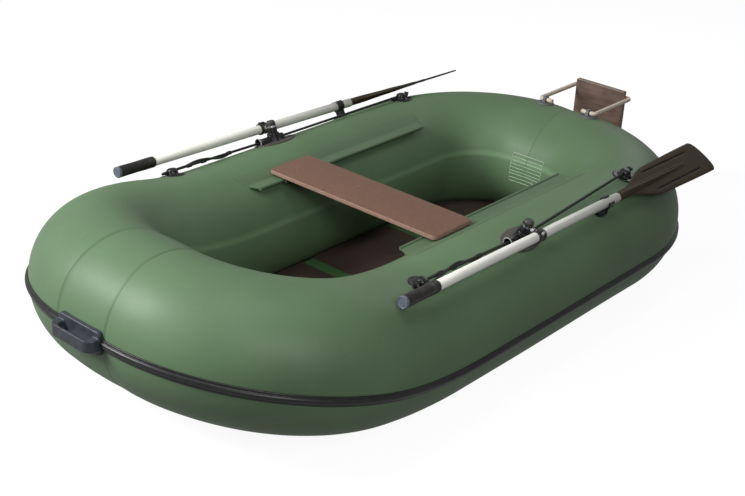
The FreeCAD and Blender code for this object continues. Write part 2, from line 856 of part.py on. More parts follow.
handle_base = handle_base.makeChamfer(
    handle_base_cover,
    [e for e in handle_base.Edges if e.CenterOfMass.x > tube_radius and e.BoundBox.XLength < 0.001],
)
handle_loop = join([handle_outside.cut(finger_gap), handle_base])
handle_loop = handle_loop.rotated(Vector(0, 0, 0), Vector(0, 1, 0), rail_below_middle)
handle_loop.translate(nose_line)
bow_handle = join([to_bow(handle_loop).cut(tube_bow).cut(rub_rail)])

# Transom: a plywood plate on two bent tubes, held by rubber brackets on the stern tube
stern_line = -stern_corner_radius
plate_front = stern_line - tube_radius - transom_gap
plate_back = plate_front - transom_thickness
frame_side = transom_half_width + frame_radius + frame_side_gap
frame_back = plate_back - frame_radius
transom_plate = Part.makeBox(
    transom_thickness,
    2 * transom_half_width,
    transom_top - transom_bottom,
    Vector(plate_back, -transom_half_width, transom_bottom),
)
transom_plate = transom_plate.makeFillet(
    transom_corner_radius,
    [e for e in transom_plate.Edges
     if abs(e.tangentAt(e.FirstParameter).x) > 0.9 and e.CenterOfMass.z < transom_bottom + 1.0],
)


def frame_tube(front, height):
    """A tube bent round behind the plate, with both ends turned inboard into the brackets."""
    corners = [
        Vector(front, frame_end_inboard, height),
        Vector(front, frame_side, height),
        Vector(frame_back, frame_side, height),
        Vector(frame_back, -frame_side, height),
        Vector(front, -frame_side, height),
        Vector(front, -frame_end_inboard, height),
    ]
    radius = min(frame_bend_radius, 0.45 * (front - frame_back))
    radius = min(radius, 0.8 * (frame_side - frame_end_inboard))
    edge = ring(corners[0], Vector(0, 1, 0), frame_radius, frame_side_count)
    section = Part.Face(Part.makePolygon(edge + edge[:1]))
    pieces = []
    at = corners[0]
    for before, corner, after in zip(corners, corners[1:], corners[2:]):
        into = (corner - before).normalize()
        out = (after - corner).normalize()
        bend_start = corner - into * radius
        bend_centre = bend_start + out * radius
        pieces.append(section.extrude(bend_start - at))
        section.translate(bend_start - at)
        axis = into.cross(out)
        pieces += turn(section, into, bend_centre, axis, 90, frame_bend_gore_count)
        section = section.rotated(bend_centre, axis, 90)
        at = corner + out * radius
    pieces.append(section.extrude(corners[-1] - at))
    return join(pieces)


upper_front = stern_line - frame_upper_back
upper_height = (
    tube_radius + math.sqrt(tube_radius**2 - frame_upper_back**2) + frame_bracket_rise
)
lower_front = (
    stern_line
    - math.sqrt(tube_radius**2 - (tube_radius - frame_lower_height) ** 2)
    - frame_bracket_rise
)
transom_frame_upper = frame_tube(upper_front, upper_height)
transom_frame_lower = frame_tube(lower_front, frame_lower_height)


def bracket(front, height):
    """A rubber bracket on the stern tube: a round foot and an ear with a bore across the boat."""
    centre = Vector(stern_line, 0, tube_radius)
    bore = Vector(front, bracket_from_centre, height)
    outward = (Vector(front, 0, height) - centre).normalize()
    lift = (Vector(front, 0, height) - centre).Length
    lean = math.degrees(math.atan2(-outward.x, outward.z))
    ear = drum(
        Vector(0, -bracket_ear / 2, lift), Vector(0, 1, 0), bracket_ear, bracket_ear_width / 2
    )
    web = Part.makeBox(
        bracket_ear_width,
        bracket_ear,
        lift - tube_radius + sink,
        Vector(-bracket_ear_width / 2, -bracket_ear / 2, tube_radius - sink),
    )
    foot = drum(
        Vector(0, 0, tube_radius - sink), Z, sink + bracket_foot_thickness, bracket_pad_radius
    )
    body = join([ear, web, foot]).rotated(Vector(0, 0, 0), Vector(0, 1, 0), -lean)
    body.translate(centre + Vector(0, bracket_from_centre, 0))
    hole = Part.makeCylinder(
        frame_radius + bracket_clearance,
        2 * bracket_ear,
        bore - Vector(0, bracket_ear, 0),
        Vector(0, 1, 0),
    )
    return join([body.cut(tube_stern).cut(hole)])


upper_bracket = bracket(upper_front, upper_height)
lower_bracket = bracket(lower_front, frame_lower_height)

# Clips that clamp the bent tubes to the back of the plate, and the motor pad between them
frame_clips = []
for height in (upper_height, frame_lower_height):
    for y in (-frame_clip_from_centre, frame_clip_from_centre):
        centre = Vector(frame_back, y - frame_clip_width / 2, height)
        saddle = drum(
            centre, Vector(0, 1, 0), frame_clip_width, frame_radius + frame_clip_wall, sides=16
        )
        feet = Part.makeBox(
            frame_clip_wall,
            frame_clip_width,
            frame_clip_foot,
            Vector(plate_back - frame_clip_wall, y - frame_clip_width / 2,
                   height - frame_clip_foot / 2),
        )
        channel = Part.makeBox(
            3 * frame_radius,
            frame_clip_width,
            2 * frame_radius,
            Vector(frame_back, y - frame_clip_width / 2, height - frame_radius),
        )
        inside_plate = transom_plate.translated(Vector(0, y, 0))
        bar = Part.makeCylinder(frame_radius, frame_clip_width, centre, Vector(0, 1, 0))
        clip = saddle.fuse(feet).cut(bar).cut(channel).cut(inside_plate)
        frame_clips.append(join(clip.Solids))
pad_top = upper_height - motor_pad_below_frame
transom_pad = Part.makeBox(
    transom_pad_thickness,
    transom_pad_width,
    transom_pad_height,
    Vector(plate_back - transom_pad_thickness, -transom_pad_width / 2,
           pad_top - transom_pad_height),
)

# Inflation valves
valves = []
for station in valve_stations:
    rim = drum(Vector(0, 0, -sink), Z, sink + valve_rim_thickness, valve_radius)
    cap = drum(Vector(0, 0, valve_rim_thickness), Z, valve_cap_height, valve_cap_radius)
    valve = on_tube(join([rim, cap]), station, valve_around)
    valves.append(join([valve.cut(tube_port)]))


def pairs(pieces):
    """Port pieces with their starboard twins, as one compound."""
    return Part.makeCompound(pieces + [mirrored(piece) for piece in pieces])


nodes = {
    "tube_bow": tube_bow,
    "tube_port": tube_port,
    "tube_starboard": tube_starboard,
    "tube_stern": tube_stern,
    "rub_rail": rub_rail,
    "bottom_sheet": bottom_sheet,
    "floor_panel_bow": floor_panel_bow,
    "floor_panel_middle": floor_panel_middle,
    "floor_panel_stern": floor_panel_stern,
    "floor_hinge_strips": Part.makeCompound(hinge_strips),
    "seat_rail_port": seat_rail_port,
    "seat_rail_starboard": seat_rail_starboard,
    "bow_handle": bow_handle,
    "transom_plate": transom_plate,
    "transom_pad": transom_pad,
    "transom_frame_upper": transom_frame_upper,
    "transom_frame_lower": transom_frame_lower,
    "transom_frame_clips": Part.makeCompound(frame_clips),
    "transom_brackets": pairs([upper_bracket, lower_bracket]),
    "eyelets": pairs([eyelet_bow_port, eyelet_stern_port]),
    "rowlock_bases": pairs([rowlock_base_port]),
    "oar_clips": pairs([oar_clip_port]),
    "lifeline_port": lifeline_port,
    "lifeline_starboard": mirrored(lifeline_port),
    "inflation_valves": Part.makeCompound(valves),
    "seat_plank": seat_plank,
    "seat_tracks": pairs([track]),
}
for name, piece in oar_pieces.items():
    seated = hung_oar(piece)
    nodes[name + "_port"] = seated
    nodes[name + "_starboard"] = mirrored(seated)

# The origin lies below the middle of the whole boat
whole = FreeCAD.BoundBox()
for shape in nodes.values():
    whole.add(shape.optimalBoundingBox(False, False))
shift = Vector(-(whole.XMin + whole.XMax) / 2, 0, 0)
os.makedirs("parts", exist_ok=True)
for name, shape in nodes.items():
    shape.translated(shift).exportStep("parts/" + name + ".step")
print("shift", round(shift.x, 3), "length", round(whole.XLength, 1), "width", round(whole.YLength, 1),
      "height", round(whole.ZMax, 1), "lowest", round(whole.ZMin, 3))
pin = point_on_tube(Vector(0, 0, hub_bottom), rowlock_station, rowlock_around) + shift
print("rowlock pin at the hub's underside", [round(v, 3) for v in pin])
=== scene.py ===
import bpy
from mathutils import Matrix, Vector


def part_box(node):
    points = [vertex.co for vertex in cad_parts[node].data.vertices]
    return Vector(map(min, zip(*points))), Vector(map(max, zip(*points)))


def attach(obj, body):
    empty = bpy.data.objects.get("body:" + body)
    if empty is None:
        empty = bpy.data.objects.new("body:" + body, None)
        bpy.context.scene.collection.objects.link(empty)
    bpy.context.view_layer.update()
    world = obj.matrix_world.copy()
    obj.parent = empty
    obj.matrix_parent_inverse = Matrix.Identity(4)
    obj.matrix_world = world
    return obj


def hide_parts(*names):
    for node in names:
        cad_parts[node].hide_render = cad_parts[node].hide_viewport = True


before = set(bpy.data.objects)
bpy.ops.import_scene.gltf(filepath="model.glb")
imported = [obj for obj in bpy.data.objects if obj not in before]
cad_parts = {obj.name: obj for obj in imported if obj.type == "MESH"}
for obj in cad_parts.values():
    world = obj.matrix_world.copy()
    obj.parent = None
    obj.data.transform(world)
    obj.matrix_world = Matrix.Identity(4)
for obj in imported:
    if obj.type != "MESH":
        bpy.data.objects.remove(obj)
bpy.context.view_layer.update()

import math

import bmesh
import bpy
from mathutils import Matrix, Vector, noise


# The buoyancy tube. On the real boat it is PVC-coated cloth, cut in panels and welded with lapped
# seams: one long panel each side, from the middle of the stern to the bow, and a short nose panel
# lapped over their ends. Blown up, it draws slightly in at each seam.
tube_radius = 0.185
half_beam = 0.392
side_length = 0.814
stern_bend = 0.342
bow_bend = 0.326
bow_rise_bend = 1.179
bow_rise = math.radians(12.5)
bow_run = 0.004
quarter_turn = math.pi / 2
side_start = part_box("tube_port")[0].x
rise_length = bow_rise_bend * bow_rise
stern_middle = -(stern_bend * quarter_turn + half_beam - stern_bend)
bow_bend_start = side_length + rise_length + bow_run
bow_middle = bow_bend_start + bow_bend * quarter_turn + half_beam - bow_bend
nose_seam_port = 1.597
nose_seam_starboard = 1.549
seam_lap = 0.030
seam_edge = 0.0016
seam_depth = 0.0021
nose_seam_depth = 0.0017
nose_tuck = 0.0035
pull_reach = 0.035
inner_seam_angle = -74.0
inner_seam_half = 0.35
cloth_thickness = 0.0009
inner_seam_step = cloth_thickness * 0.4
ripple_length = 0.33
ripple_height = 0.0016
ring_spacing = 0.016
ring_corners = 88


def tube_line(along):
    """The port half of the tube's middle line: its point, its way ahead, outboard and up."""
    if along < 0:
        swung = min(-along / stern_bend, quarter_turn)
        past = max(0.0, -along - stern_bend * quarter_turn)
        middle = Vector((side_start, half_beam - stern_bend, tube_radius))
        outboard = Vector((-math.sin(swung), math.cos(swung), 0))
        middle += outboard * stern_bend + Vector((0, -past, 0))
        return middle, Vector((math.cos(swung), math.sin(swung), 0)), outboard, Vector((0, 0, 1))
    risen = min(max(along - side_length, 0.0) / bow_rise_bend, bow_rise)
    ahead = Vector((math.cos(risen), 0, math.sin(risen)))
    up = Vector((-math.sin(risen), 0, math.cos(risen)))
    middle = Vector((side_start + min(along, side_length), half_beam, tube_radius))
    middle += Vector((math.sin(risen), 0, 1 - math.cos(risen))) * bow_rise_bend
    middle += ahead * min(max(along - side_length - rise_length, 0.0), bow_run)
    port = Vector((0, 1, 0))
    swung = min(max(along - bow_bend_start, 0.0) / bow_bend, quarter_turn)
    past = max(0.0, along - bow_bend_start - bow_bend * quarter_turn)
    outboard = port * math.cos(swung) + ahead * math.sin(swung)
    heading = ahead * math.cos(swung) - port * math.sin(swung)
    middle += (outboard - port) * bow_bend + heading * past
    return middle, heading, outboard, up


def on_tube(along, angle, out=0.0):
    """A point at an angle from the tube's crown, outboard positive, and the way out of it there."""
    middle, ahead, outboard, up = tube_line(along)
    away = up * math.cos(math.radians(angle)) + outboard * math.sin(math.radians(angle))
    return middle + away * (tube_radius + out), away


def on_side(point, side):
    """The point itself to port, its mirror image to starboard."""
    return point if side > 0 else Vector((point.x, -point.y, point.z))


def make_piece(name, corners, faces):
    """A smooth mesh object in the boat's own frame."""
    mesh = bpy.data.meshes.new(name)
    mesh.from_pydata([tuple(corner) for corner in corners], [], faces)
    mesh.validate()
    for polygon in mesh.polygons:
        polygon.use_smooth = True
    piece = bpy.data.objects.new(name, mesh)
    bpy.context.scene.collection.objects.link(piece)
    return piece


def skin(name, rings, closed=True, looped=False):
    """A skin through rings of corners: closed rings are capped at both ends, or looped end to end."""
    count = len(rings[0])
    corners = [corner for ring in rings for corner in ring]
    faces = []
    for row in range(len(rings) if looped else len(rings) - 1):
        ahead = (row + 1) % len(rings) * count
        for column in range(count if closed else count - 1):
            after = (column + 1) % count
            faces.append((row * count + column, row * count + after, ahead + after, ahead + column))
    if closed and not looped:
        faces.append(tuple(range(count - 1, -1, -1)))
        faces.append(tuple((len(rings) - 1) * count + column for column in range(count)))
    piece = make_piece(name, corners, faces)
    facing = bmesh.new()
    facing.from_mesh(piece.data)
    bmesh.ops.recalc_face_normals(facing, faces=facing.faces)
    facing.to_mesh(piece.data)
    facing.free()
    return piece


def mark(piece, name, values):
    """Writes a value on each corner of a piece, for its finish to read."""
    piece.data.attributes.new(name, "FLOAT", "POINT").data.foreach_set("value", values)


def fit_out(piece, finishes, slot, body, *nodes):
    """Gives a piece its finish, or face and edge finishes, and its body, and hides the CAD nodes it stands
    for.
    """
    for finish in finishes if isinstance(finishes, tuple) else (finishes,):
        piece.data.materials.append(finish.material)
    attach(piece, body)
    if nodes:
        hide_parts(*nodes)


def ripple(point, size, height):
    """A soft unevenness, the same on every run."""
    return noise.noise(point / size) * height


def seam_pull(gap):
    """How far a seam draws the cloth in at a distance from it: 1 at the seam, and soon 0."""
    return math.exp(-(gap / pull_reach) ** 2)


def blown_cloth(along, side, angle, out, pull, depth):
    """A point of the blown-up cloth, drawn in and puckered by the pull of a seam."""
    pucker = 0.5 + 0.5 * math.sin(math.radians(angle) * 5 + along * 3)
    out -= pull * (depth + 0.0006 * pucker)
    point, away = on_tube(along, angle if angle <= 180 else angle - 360, out)
    point += away * ripple(point, ripple_length, ripple_height)
    point.z = max(point.z, 0.0)
    return on_side(point, side)


def side_panel(name, end, side):
    """One long panel from the middle of the stern, with a step along its inner seam."""
    count = round((end - stern_middle) / ring_spacing)
    stations = {stern_middle + (end - stern_middle) * k / count for k in range(count + 1)}
    for near in (0.0015, 0.004, 0.008):
        stations |= {stern_middle + near, end - near}
    step = 360 + inner_seam_angle
    angles = [360.0 * k / ring_corners for k in range(ring_corners)]
    angles = sorted(angles + [step - inner_seam_half, step + inner_seam_half])
    rings = []
    seams = []
    for along in sorted(stations):
        pull = seam_pull(along - stern_middle) + seam_pull(along - end)
        ring = []
        for angle in angles:
            out = inner_seam_step if 180 < angle < step else 0.0
            ring.append(blown_cloth(along, side, angle, out, pull, seam_depth))
        rings.append(ring)
        # Marks a faint line at the stern seam, a dark one at the nose, and on the inner seam a painted
        # highlight, a pale line
        if along - stern_middle < seam_edge:
            seams += [0.25] * len(angles)
        elif end - along < seam_edge:
            seams += [1.0] * len(angles)
        else:
            seams += [-1.0 if abs(angle - step) < inner_seam_half + 0.05 else 0.0 for angle in angles]
    piece = skin(name, rings)
    mark(piece, "seam_line", seams)
    return piece


class Finish:
    """A new finish, laid up in layers on one shader; its textures lie in the boat's frame, in metres."""

    def __init__(self, name, **levels):
        self.material = bpy.data.materials.new(name)
        self.material.use_nodes = True
        self.nodes = self.material.node_tree.nodes
        self.links = self.material.node_tree.links
        self.shader = self.nodes["Principled BSDF"]
        self.normal = None
        for socket, level in levels.items():
            self.shader.inputs[socket.replace("_", " ")].default_value = level

    def texture(self, kind, scale, detail=2.0, stretch=(1.0, 1.0, 1.0)):
        """A procedural texture of one kind."""
        place = self.nodes.new("ShaderNodeTexCoord")
        spread = self.nodes.new("ShaderNodeMapping")
        spread.inputs["Scale"].default_value = stretch
        self.links.new(place.outputs["Object"], spread.inputs["Vector"])
        texture = self.nodes.new("ShaderNodeTex" + kind)
        texture.inputs["Scale"].default_value = scale
        if "Detail" in texture.inputs:
            texture.inputs["Detail"].default_value = detail
        self.links.new(spread.outputs["Vector"], texture.inputs["Vector"])
        return texture

    def mottle(self, scale, detail=2.0, stretch=(1.0, 1.0, 1.0)):
        """The value of a noise texture."""
        return self.texture("Noise", scale, detail, stretch).outputs["Fac"]

    def crossed(self, scale, kind):
        """Two sets of waves laid across each other."""
        waves = [self.texture("Wave", scale, 0.0) for _ in range(2)]
        waves[1].bands_direction = "Y"
        return self.mixed(kind, 1.0, waves[0].outputs["Color"], waves[1].outputs["Color"])

    def ramp(self, source, *stops):
        """A colour ramp from (place, colour) stops."""
        band = self.nodes.new("ShaderNodeValToRGB")
        self.links.new(source, band.inputs["Fac"])
        for element, (place, colour) in zip(band.color_ramp.elements, stops):
            element.position = place
            element.color = (*colour, 1.0)
        return band.outputs["Color"]

    def mixed(self, kind, share, first, second):
        """Two colours mixed, each a socket or a plain colour, by a share that is a socket or a number."""
        mix = self.nodes.new("ShaderNodeMix")
        mix.data_type = "RGBA"
        mix.blend_type = kind
        for place, value in ((0, share), (6, first), (7, second)):
            if isinstance(value, bpy.types.NodeSocket):
                self.links.new(value, mix.inputs[place])
            else:
                mix.inputs[place].default_value = value if place == 0 else (*value, 1.0)
        return mix.outputs[2]

    def base(self, colour):
        """Takes a socket as the base colour."""
        self.colour = colour
        self.links.new(colour, self.shader.inputs["Base Color"])

    def lay(self, kind, share, over):
        """Lays a colour over the base colour."""
        self.base(self.mixed(kind, share, self.colour, over))

    def gloss(self, source, low, high):
        """Lets the roughness follow a texture between two values."""
        spread = self.nodes.new("ShaderNodeMapRange")
        spread.inputs["To Min"].default_value = low
        spread.inputs["To Max"].default_value = high
        self.links.new(source, spread.inputs["Value"])
        self.links.new(spread.outputs["Result"], self.shader.inputs["Roughness"])

    def bump(self, height, strength, distance):
        """Adds a bump, its distance in metres, over those before it."""
        bump = self.nodes.new("ShaderNodeBump")
        bump.inputs["Strength"].default_value = strength
        bump.inputs["Distance"].default_value = distance
        self.links.new(height, bump.inputs["Height"])
        if self.normal:
            self.links.new(self.normal, bump.inputs["Normal"])
        self.normal = bump.outputs["Normal"]
        self.links.new(self.normal, self.shader.inputs["Normal"])

    def marked(self, name):
        """The value that mark wrote on the piece."""
        attribute = self.nodes.new("ShaderNodeAttribute")
        attribute.attribute_name = name
        return attribute.outputs["Fac"]


def shaded(colour, factor):
    """A colour made lighter or darker."""
    return tuple(min(1.0, channel * factor) for channel in colour)


black = (0, 0, 0)
white = (1, 1, 1)


def coated_cloth(name, colour):
    """PVC-coated polyester: satin, faintly mottled, with the cloth's fine weave under the coat."""
    cloth = Finish(name, Specular_IOR_Level=0.28)
    cloudy = cloth.mottle(3.2, 3.0)
    cloth.base(cloth.ramp(cloudy, (0.3, shaded(colour, 0.9)), (0.7, shaded(colour, 1.1))))
    cloth.lay("ADD", 0.35, cloth.ramp(cloth.mottle(38.0, 5.0), (0.60, black), (0.80, (0.04, 0.04, 0.04))))
    cloth.gloss(cloth.mottle(9.0, 4.0), 0.42, 0.54)
    cloth.bump(cloth.crossed(520.0, "MULTIPLY"), 0.05, 0.0004)
    cloth.bump(cloudy, 0.06, 0.004)
    return cloth


sage = (0.112, 0.186, 0.099)
tube_cloth = coated_cloth("sage_coated_cloth", sage)
seam_line = tube_cloth.marked("seam_line")
tube_cloth.lay("MULTIPLY", seam_line, (0.70, 0.74, 0.68))
# Painted highlight: where the seam mark is negative, on the inner seam, the cloth is mixed halfway to a
# colour 1.8 times as light
seam_highlight = tube_cloth.nodes.new("ShaderNodeMath")
seam_highlight.operation = "MULTIPLY"
seam_highlight.inputs[1].default_value = -0.5
tube_cloth.links.new(seam_line, seam_highlight.inputs[0])
tube_cloth.lay("MIX", seam_highlight.outputs["Value"], shaded(sage, 1.8))
port_panel = side_panel("tube_panel_port", nose_seam_port + seam_lap, 1)
fit_out(port_panel, tube_cloth, "tube_fabric", "hull", "tube_port", "tube_stern")
starboard_panel = side_panel("tube_panel_starboard", nose_seam_starboard + seam_lap, -1)
fit_out(starboard_panel, tube_cloth, "tube_fabric", "hull", "tube_starboard")
nose_span = (bow_middle - nose_seam_port) + (bow_middle - nose_seam_starboard)
nose_rows = 14
nose_rings = []
nose_marks = []
for row in range(-2, nose_rows + 3):
    run = nose_span * min(max(row / nose_rows, 0.0), 1.0)
    run += seam_edge * ((row == 0) - (row == nose_rows))
    out = -nose_tuck if row in (-2, nose_rows + 2) else cloth_thickness
    from_port = nose_seam_port + run
    side = 1 if from_port <= bow_middle else -1
    along = from_port if side > 0 else 2 * bow_middle - from_port
    pull = seam_pull(run) + seam_pull(nose_span - run)
    nose_rings.append([blown_cloth(along, side, 360.0 * k / ring_corners, out, pull, nose_seam_depth)
                       for k in range(ring_corners)])
    nose_marks += [1.0 if row < 1 or row > nose_rows - 1 else 0.0] * ring_corners
nose_panel = skin("tube_panel_nose", nose_rings)
mark(nose_panel, "seam_line", nose_marks)
fit_out(nose_panel, tube_cloth, "tube_fabric", "hull", "tube_bow")


# Rub rail. A black rubber extrusion with a half-round core between two thin flanges, glued on all
# round a little below the tube's widest line.
rail_angle = 99.2
rail_half_height = 0.0135
rail_flange = 0.003
rail_core = 0.0053
rail_core_half = 0.0075
rail_groove = 0.0009
rail_spacing = 0.014


def moulded(name, colour, gloss, grain, depth, patch=14.0, dust=0.0):
    """Moulded rubber or plastic: uneven in tone and gloss, with a fine grain in its skin."""
    rubber = Finish(name, Specular_IOR_Level=0.35)
    cloudy = rubber.mottle(patch, 4.0)
    rubber.base(rubber.ramp(cloudy, (0.3, shaded(colour, 0.82)), (0.7, shaded(colour, 1.18))))
    if dust:
        settled = rubber.ramp(rubber.mottle(70.0, 6.0), (0.50, black), (0.78, (dust, dust, dust * 0.95)))
        rubber.lay("ADD", 1.0, settled)
    rubber.gloss(cloudy, gloss - 0.07, gloss + 0.07)
    rubber.bump(rubber.mottle(grain), 0.4, depth)
    return rubber


rail_section = [(-0.002, -rail_half_height), (rail_flange - 0.001, -rail_half_height),
                (rail_flange, -rail_half_height + 0.001), (rail_flange, -rail_core_half - 0.0016),
                (rail_flange - rail_groove, -rail_core_half - 0.0006)]
below = rail_section[::-1]
for step in range(-4, 5):
    bulge = math.radians(20 * step)
    rail_section.append((rail_flange + rail_core * math.cos(bulge), rail_core_half * math.sin(bulge)))
rail_section += [(out, -rise) for out, rise in below]
half_round = bow_middle - stern_middle
rail_count = round(half_round / rail_spacing)
port_stations = [(stern_middle + half_round * k / rail_count, 1) for k in range(rail_count + 1)]
rail_rings = []
for along, side in port_stations + [(along, -1) for along, side in port_stations[-2:0:-1]]:
    wander = ripple(Vector((along, side, 0)), 0.4, 0.0012)
    ring = []
    for out, rise in rail_section:
        point, away = on_tube(along, rail_angle, out)
        upward = -tube_line(along)[1].cross(away).normalized()
        ring.append(on_side(point + upward * (rise + wander), side))
    rail_rings.append(ring)
black_rail = moulded("black_rail_rubber", (0.015, 0.015, 0.016), 0.34, 900.0, 0.00012, dust=0.012)
fit_out(skin("rubbing_strip", rail_rings, looped=True), black_rail, "rail_rubber", "hull", "rub_rail")


# Bottom sheet. One sheet of coated cloth in a darker green, glued round the underside of the tube on
# its inner side, and pulled flat as the tube fills.
sheet_angle = 35.0
sheet_margin = 8.0
sheet_thickness = 0.0015
sheet_lift = 0.0008
sheet_sag = 0.0010
sheet_columns = 26
sheet_rows = 110


def applied(piece):
    """Works a piece's modifiers into its mesh."""
    bpy.context.view_layer.update()
    solved = piece.evaluated_get(bpy.context.evaluated_depsgraph_get())
    worked = bpy.data.meshes.new_from_object(solved)
    piece.modifiers.clear()
    rough = piece.data
    piece.data = worked
    bpy.data.meshes.remove(rough)


margin_angles = [-(180 - sheet_angle) - sheet_margin * k / 3 for k in range(3, -1, -1)]
sheet_start = -stern_bend * quarter_turn
sheet_end = bow_bend_start + bow_bend * quarter_turn
sheet_rings = []
for row in range(-3, sheet_rows + 4):
    along = sheet_start + (sheet_end - sheet_start) * min(max(row, 0), sheet_rows) / sheet_rows
    beyond = max(-row, row - sheet_rows, 0) * sheet_margin / 3
    ring = [on_tube(along, min(angle, margin_angles[-1] - beyond), sheet_lift)[0]
            for angle in margin_angles]
    far_edge = [on_side(point, -1) for point in reversed(ring)]
    last = ring[-1]
    for column in range(1, sheet_columns):
        across = 1 - 2 * column / sheet_columns
        sag = sheet_sag * (1 - across ** 8) if beyond == 0 else 0.0
        ring.append(Vector((last.x, last.y * across, last.z - sag)))
    sheet_rings.append(ring + far_edge)
bottom_sheet = skin("bottom_cloth", sheet_rings, closed=False)
thicken = bottom_sheet.modifiers.new("cloth", "SOLIDIFY")
thicken.thickness = sheet_thickness
thicken.offset = 0.0
applied(bottom_sheet)
sheet_cloth = coated_cloth("dark_green_coated_cloth", (0.050, 0.085, 0.047))
fit_out(bottom_sheet, sheet_cloth, "sheet_fabric", "hull", "bottom_sheet")


# Floor. Three panels of film-faced plywood, laid loose on the bottom sheet and cut to the inside of
# the tube. Their edges are eased, and show the plies.
floor_thickness = 0.009
floor_corner = 0.004
floor_ease = 0.0015
floor_bottom = tube_radius * (1 - math.cos(math.radians(sheet_angle))) + 0.0002
floor_top = floor_bottom + floor_thickness
floor_inset = math.sqrt(tube_radius ** 2 - (tube_radius - floor_top) ** 2) + 0.003
floor_half = half_beam - floor_inset
floor_joint_bow = 0.563
floor_joint_stern = 0.178
joint_gap = 0.003


def rounded_outline(low, high, radii, steps):
    """A rectangle's outline from its low to its high corner, with one radius or four."""
    outline = []
    corners = ((high, (-1, -1)), ((low[0], high[1]), (1, -1)), (low, (1, 1)), ((high[0], low[1]), (-1, 1)))
    for k, ((x, y), (inward_x, inward_y)) in enumerate(corners):
        radius = radii[k] if isinstance(radii, tuple) else radii
        for step in range(steps + 1):
            angle = math.radians(90 * k + 90 * step / steps)
            outline.append((x + inward_x * radius + radius * math.cos(angle),
                            y + inward_y * radius + radius * math.sin(angle)))
    return outline


def drawn_in(outline, distance):
    """An outline moved inwards all round."""
    inner = []
    count = len(outline)
    for k in range(count):
        before, here, after = (Vector(outline[(k + j) % count]) for j in (-1, 0, 1))
        sides = [side for side in (here - before, after - here) if side.length > 1e-7]
        normals = [Vector((-side.y, side.x)).normalized() for side in sides]
        way = sum(normals, Vector((0, 0))).normalized()
        inner.append(here + way * (distance / max(0.5, way.dot(normals[0]))))
    return inner


def crease(piece, degrees):
    """Shades the edges of a piece sharp where its faces meet at more than an angle."""
    piece.data.set_sharp_from_angle(angle=math.radians(degrees))
    return piece


def slab(name, low, high, radii, bottom, top, ease, stand=None, steps=8):
    """A rounded plate with eased edges: its faces take the first finish, its edges the second."""
    outline = rounded_outline(low, high, radii, steps)
    levels = []
    for step in range(5):
        angle = math.radians(22.5 * step)
        levels.append((ease * (1 - math.sin(angle)), bottom + ease * (1 - math.cos(angle))))
    levels += [(inset, bottom + top - level) for inset, level in reversed(levels)]
    piece = skin(name, [[Vector((x, y, level)) for x, y in drawn_in(outline, inset)]
                        for inset, level in levels])
    for polygon in piece.data.polygons:
        if bottom + ease * 0.3 < polygon.center.z < top - ease * 0.3:
            polygon.material_index = 1
    if stand:
        piece.data.transform(stand)
    return crease(piece, 50)


def film_face(name, colour, mesh_size, gloss):
    """A phenolic film pressed on plywood: dark, faintly grained, with a fine wire pattern."""
    film = Finish(name, Specular_IOR_Level=0.25)
    grain = film.mottle(130.0, 6.0)
    film.base(film.ramp(grain, (0.32, shaded(colour, 0.88)), (0.68, shaded(colour, 1.12))))
    scratches = film.mottle(120.0, 3.0, (0.05, 1.0, 1.0))
    film.lay("ADD", 0.5, film.ramp(scratches, (0.66, black), (0.74, shaded(colour, 0.8))))
    film.gloss(grain, gloss - 0.08, gloss + 0.10)
    film.bump(film.crossed(0.314 / mesh_size, "LIGHTEN"), 0.12, 0.0004)
    film.bump(grain, 0.15, 0.0006)
    return film


def ply_edge(name, light, dark, layer, direction):
    """The cut edge of plywood: light and dark plies in turn, with open pores."""
    edge = Finish(name, Roughness=0.7)
    plies = edge.texture("Wave", 0.157 / layer, 1.0)
    plies.bands_direction = direction
    plies.inputs["Distortion"].default_value = 0.6
    edge.base(edge.ramp(plies.outputs["Fac"], (0.35, light), (0.65, dark)))
    pores = edge.mottle(300.0, 3.0)
    edge.lay("MULTIPLY", 0.8, edge.ramp(pores, (0.35, (0.55, 0.5, 0.45)), (0.6, white)))
    edge.bump(pores, 0.3, 0.0004)
    return edge


brown_film = film_face("brown_film_face", (0.105, 0.073, 0.062), 0.006, 0.42)
floor_edge = ply_edge("floor_ply_edge", (0.20, 0.13, 0.08), (0.08, 0.05, 0.035), 0.0018, "Z")
stern_corner = stern_bend - floor_inset
for place, start, end, radii in (
    ("bow", floor_joint_bow, side_length + 0.004, floor_corner),
    ("middle", floor_joint_stern, floor_joint_bow - joint_gap, floor_corner),
    ("stern", -stern_corner, floor_joint_stern - joint_gap,
     (floor_corner, stern_corner, stern_corner, floor_corner)),
):
    panel = slab("floor_board_" + place, (side_start + start, -floor_half), (side_start + end, floor_half),
                 radii, floor_bottom, floor_top, floor_ease, steps=20)
    fit_out(panel, (brown_film, floor_edge), "floor_ply", "hull", "floor_panel_" + place)


# Hinge strips. Bands of green coated cloth, glued across each joint of the floor so that the panels
# fold together; each dips a little into its joint.
strip_width = 0.042
strip_thickness = 0.001
strip_half = floor_half - 0.003


def joined(name, parts, sharp=None):
    """Several meshes as one piece with one finish, shaded sharp above an angle if one is given."""
    whole = bmesh.new()
    for part in parts:
        whole.from_mesh(part.data)
        bpy.data.objects.remove(part)
    for face in whole.faces:
        face.material_index = 0
    mesh = bpy.data.meshes.new(name)
    whole.to_mesh(mesh)
    whole.free()
    piece = bpy.data.objects.new(name, mesh)
    bpy.context.scene.collection.objects.link(piece)
    return crease(piece, sharp) if sharp else piece


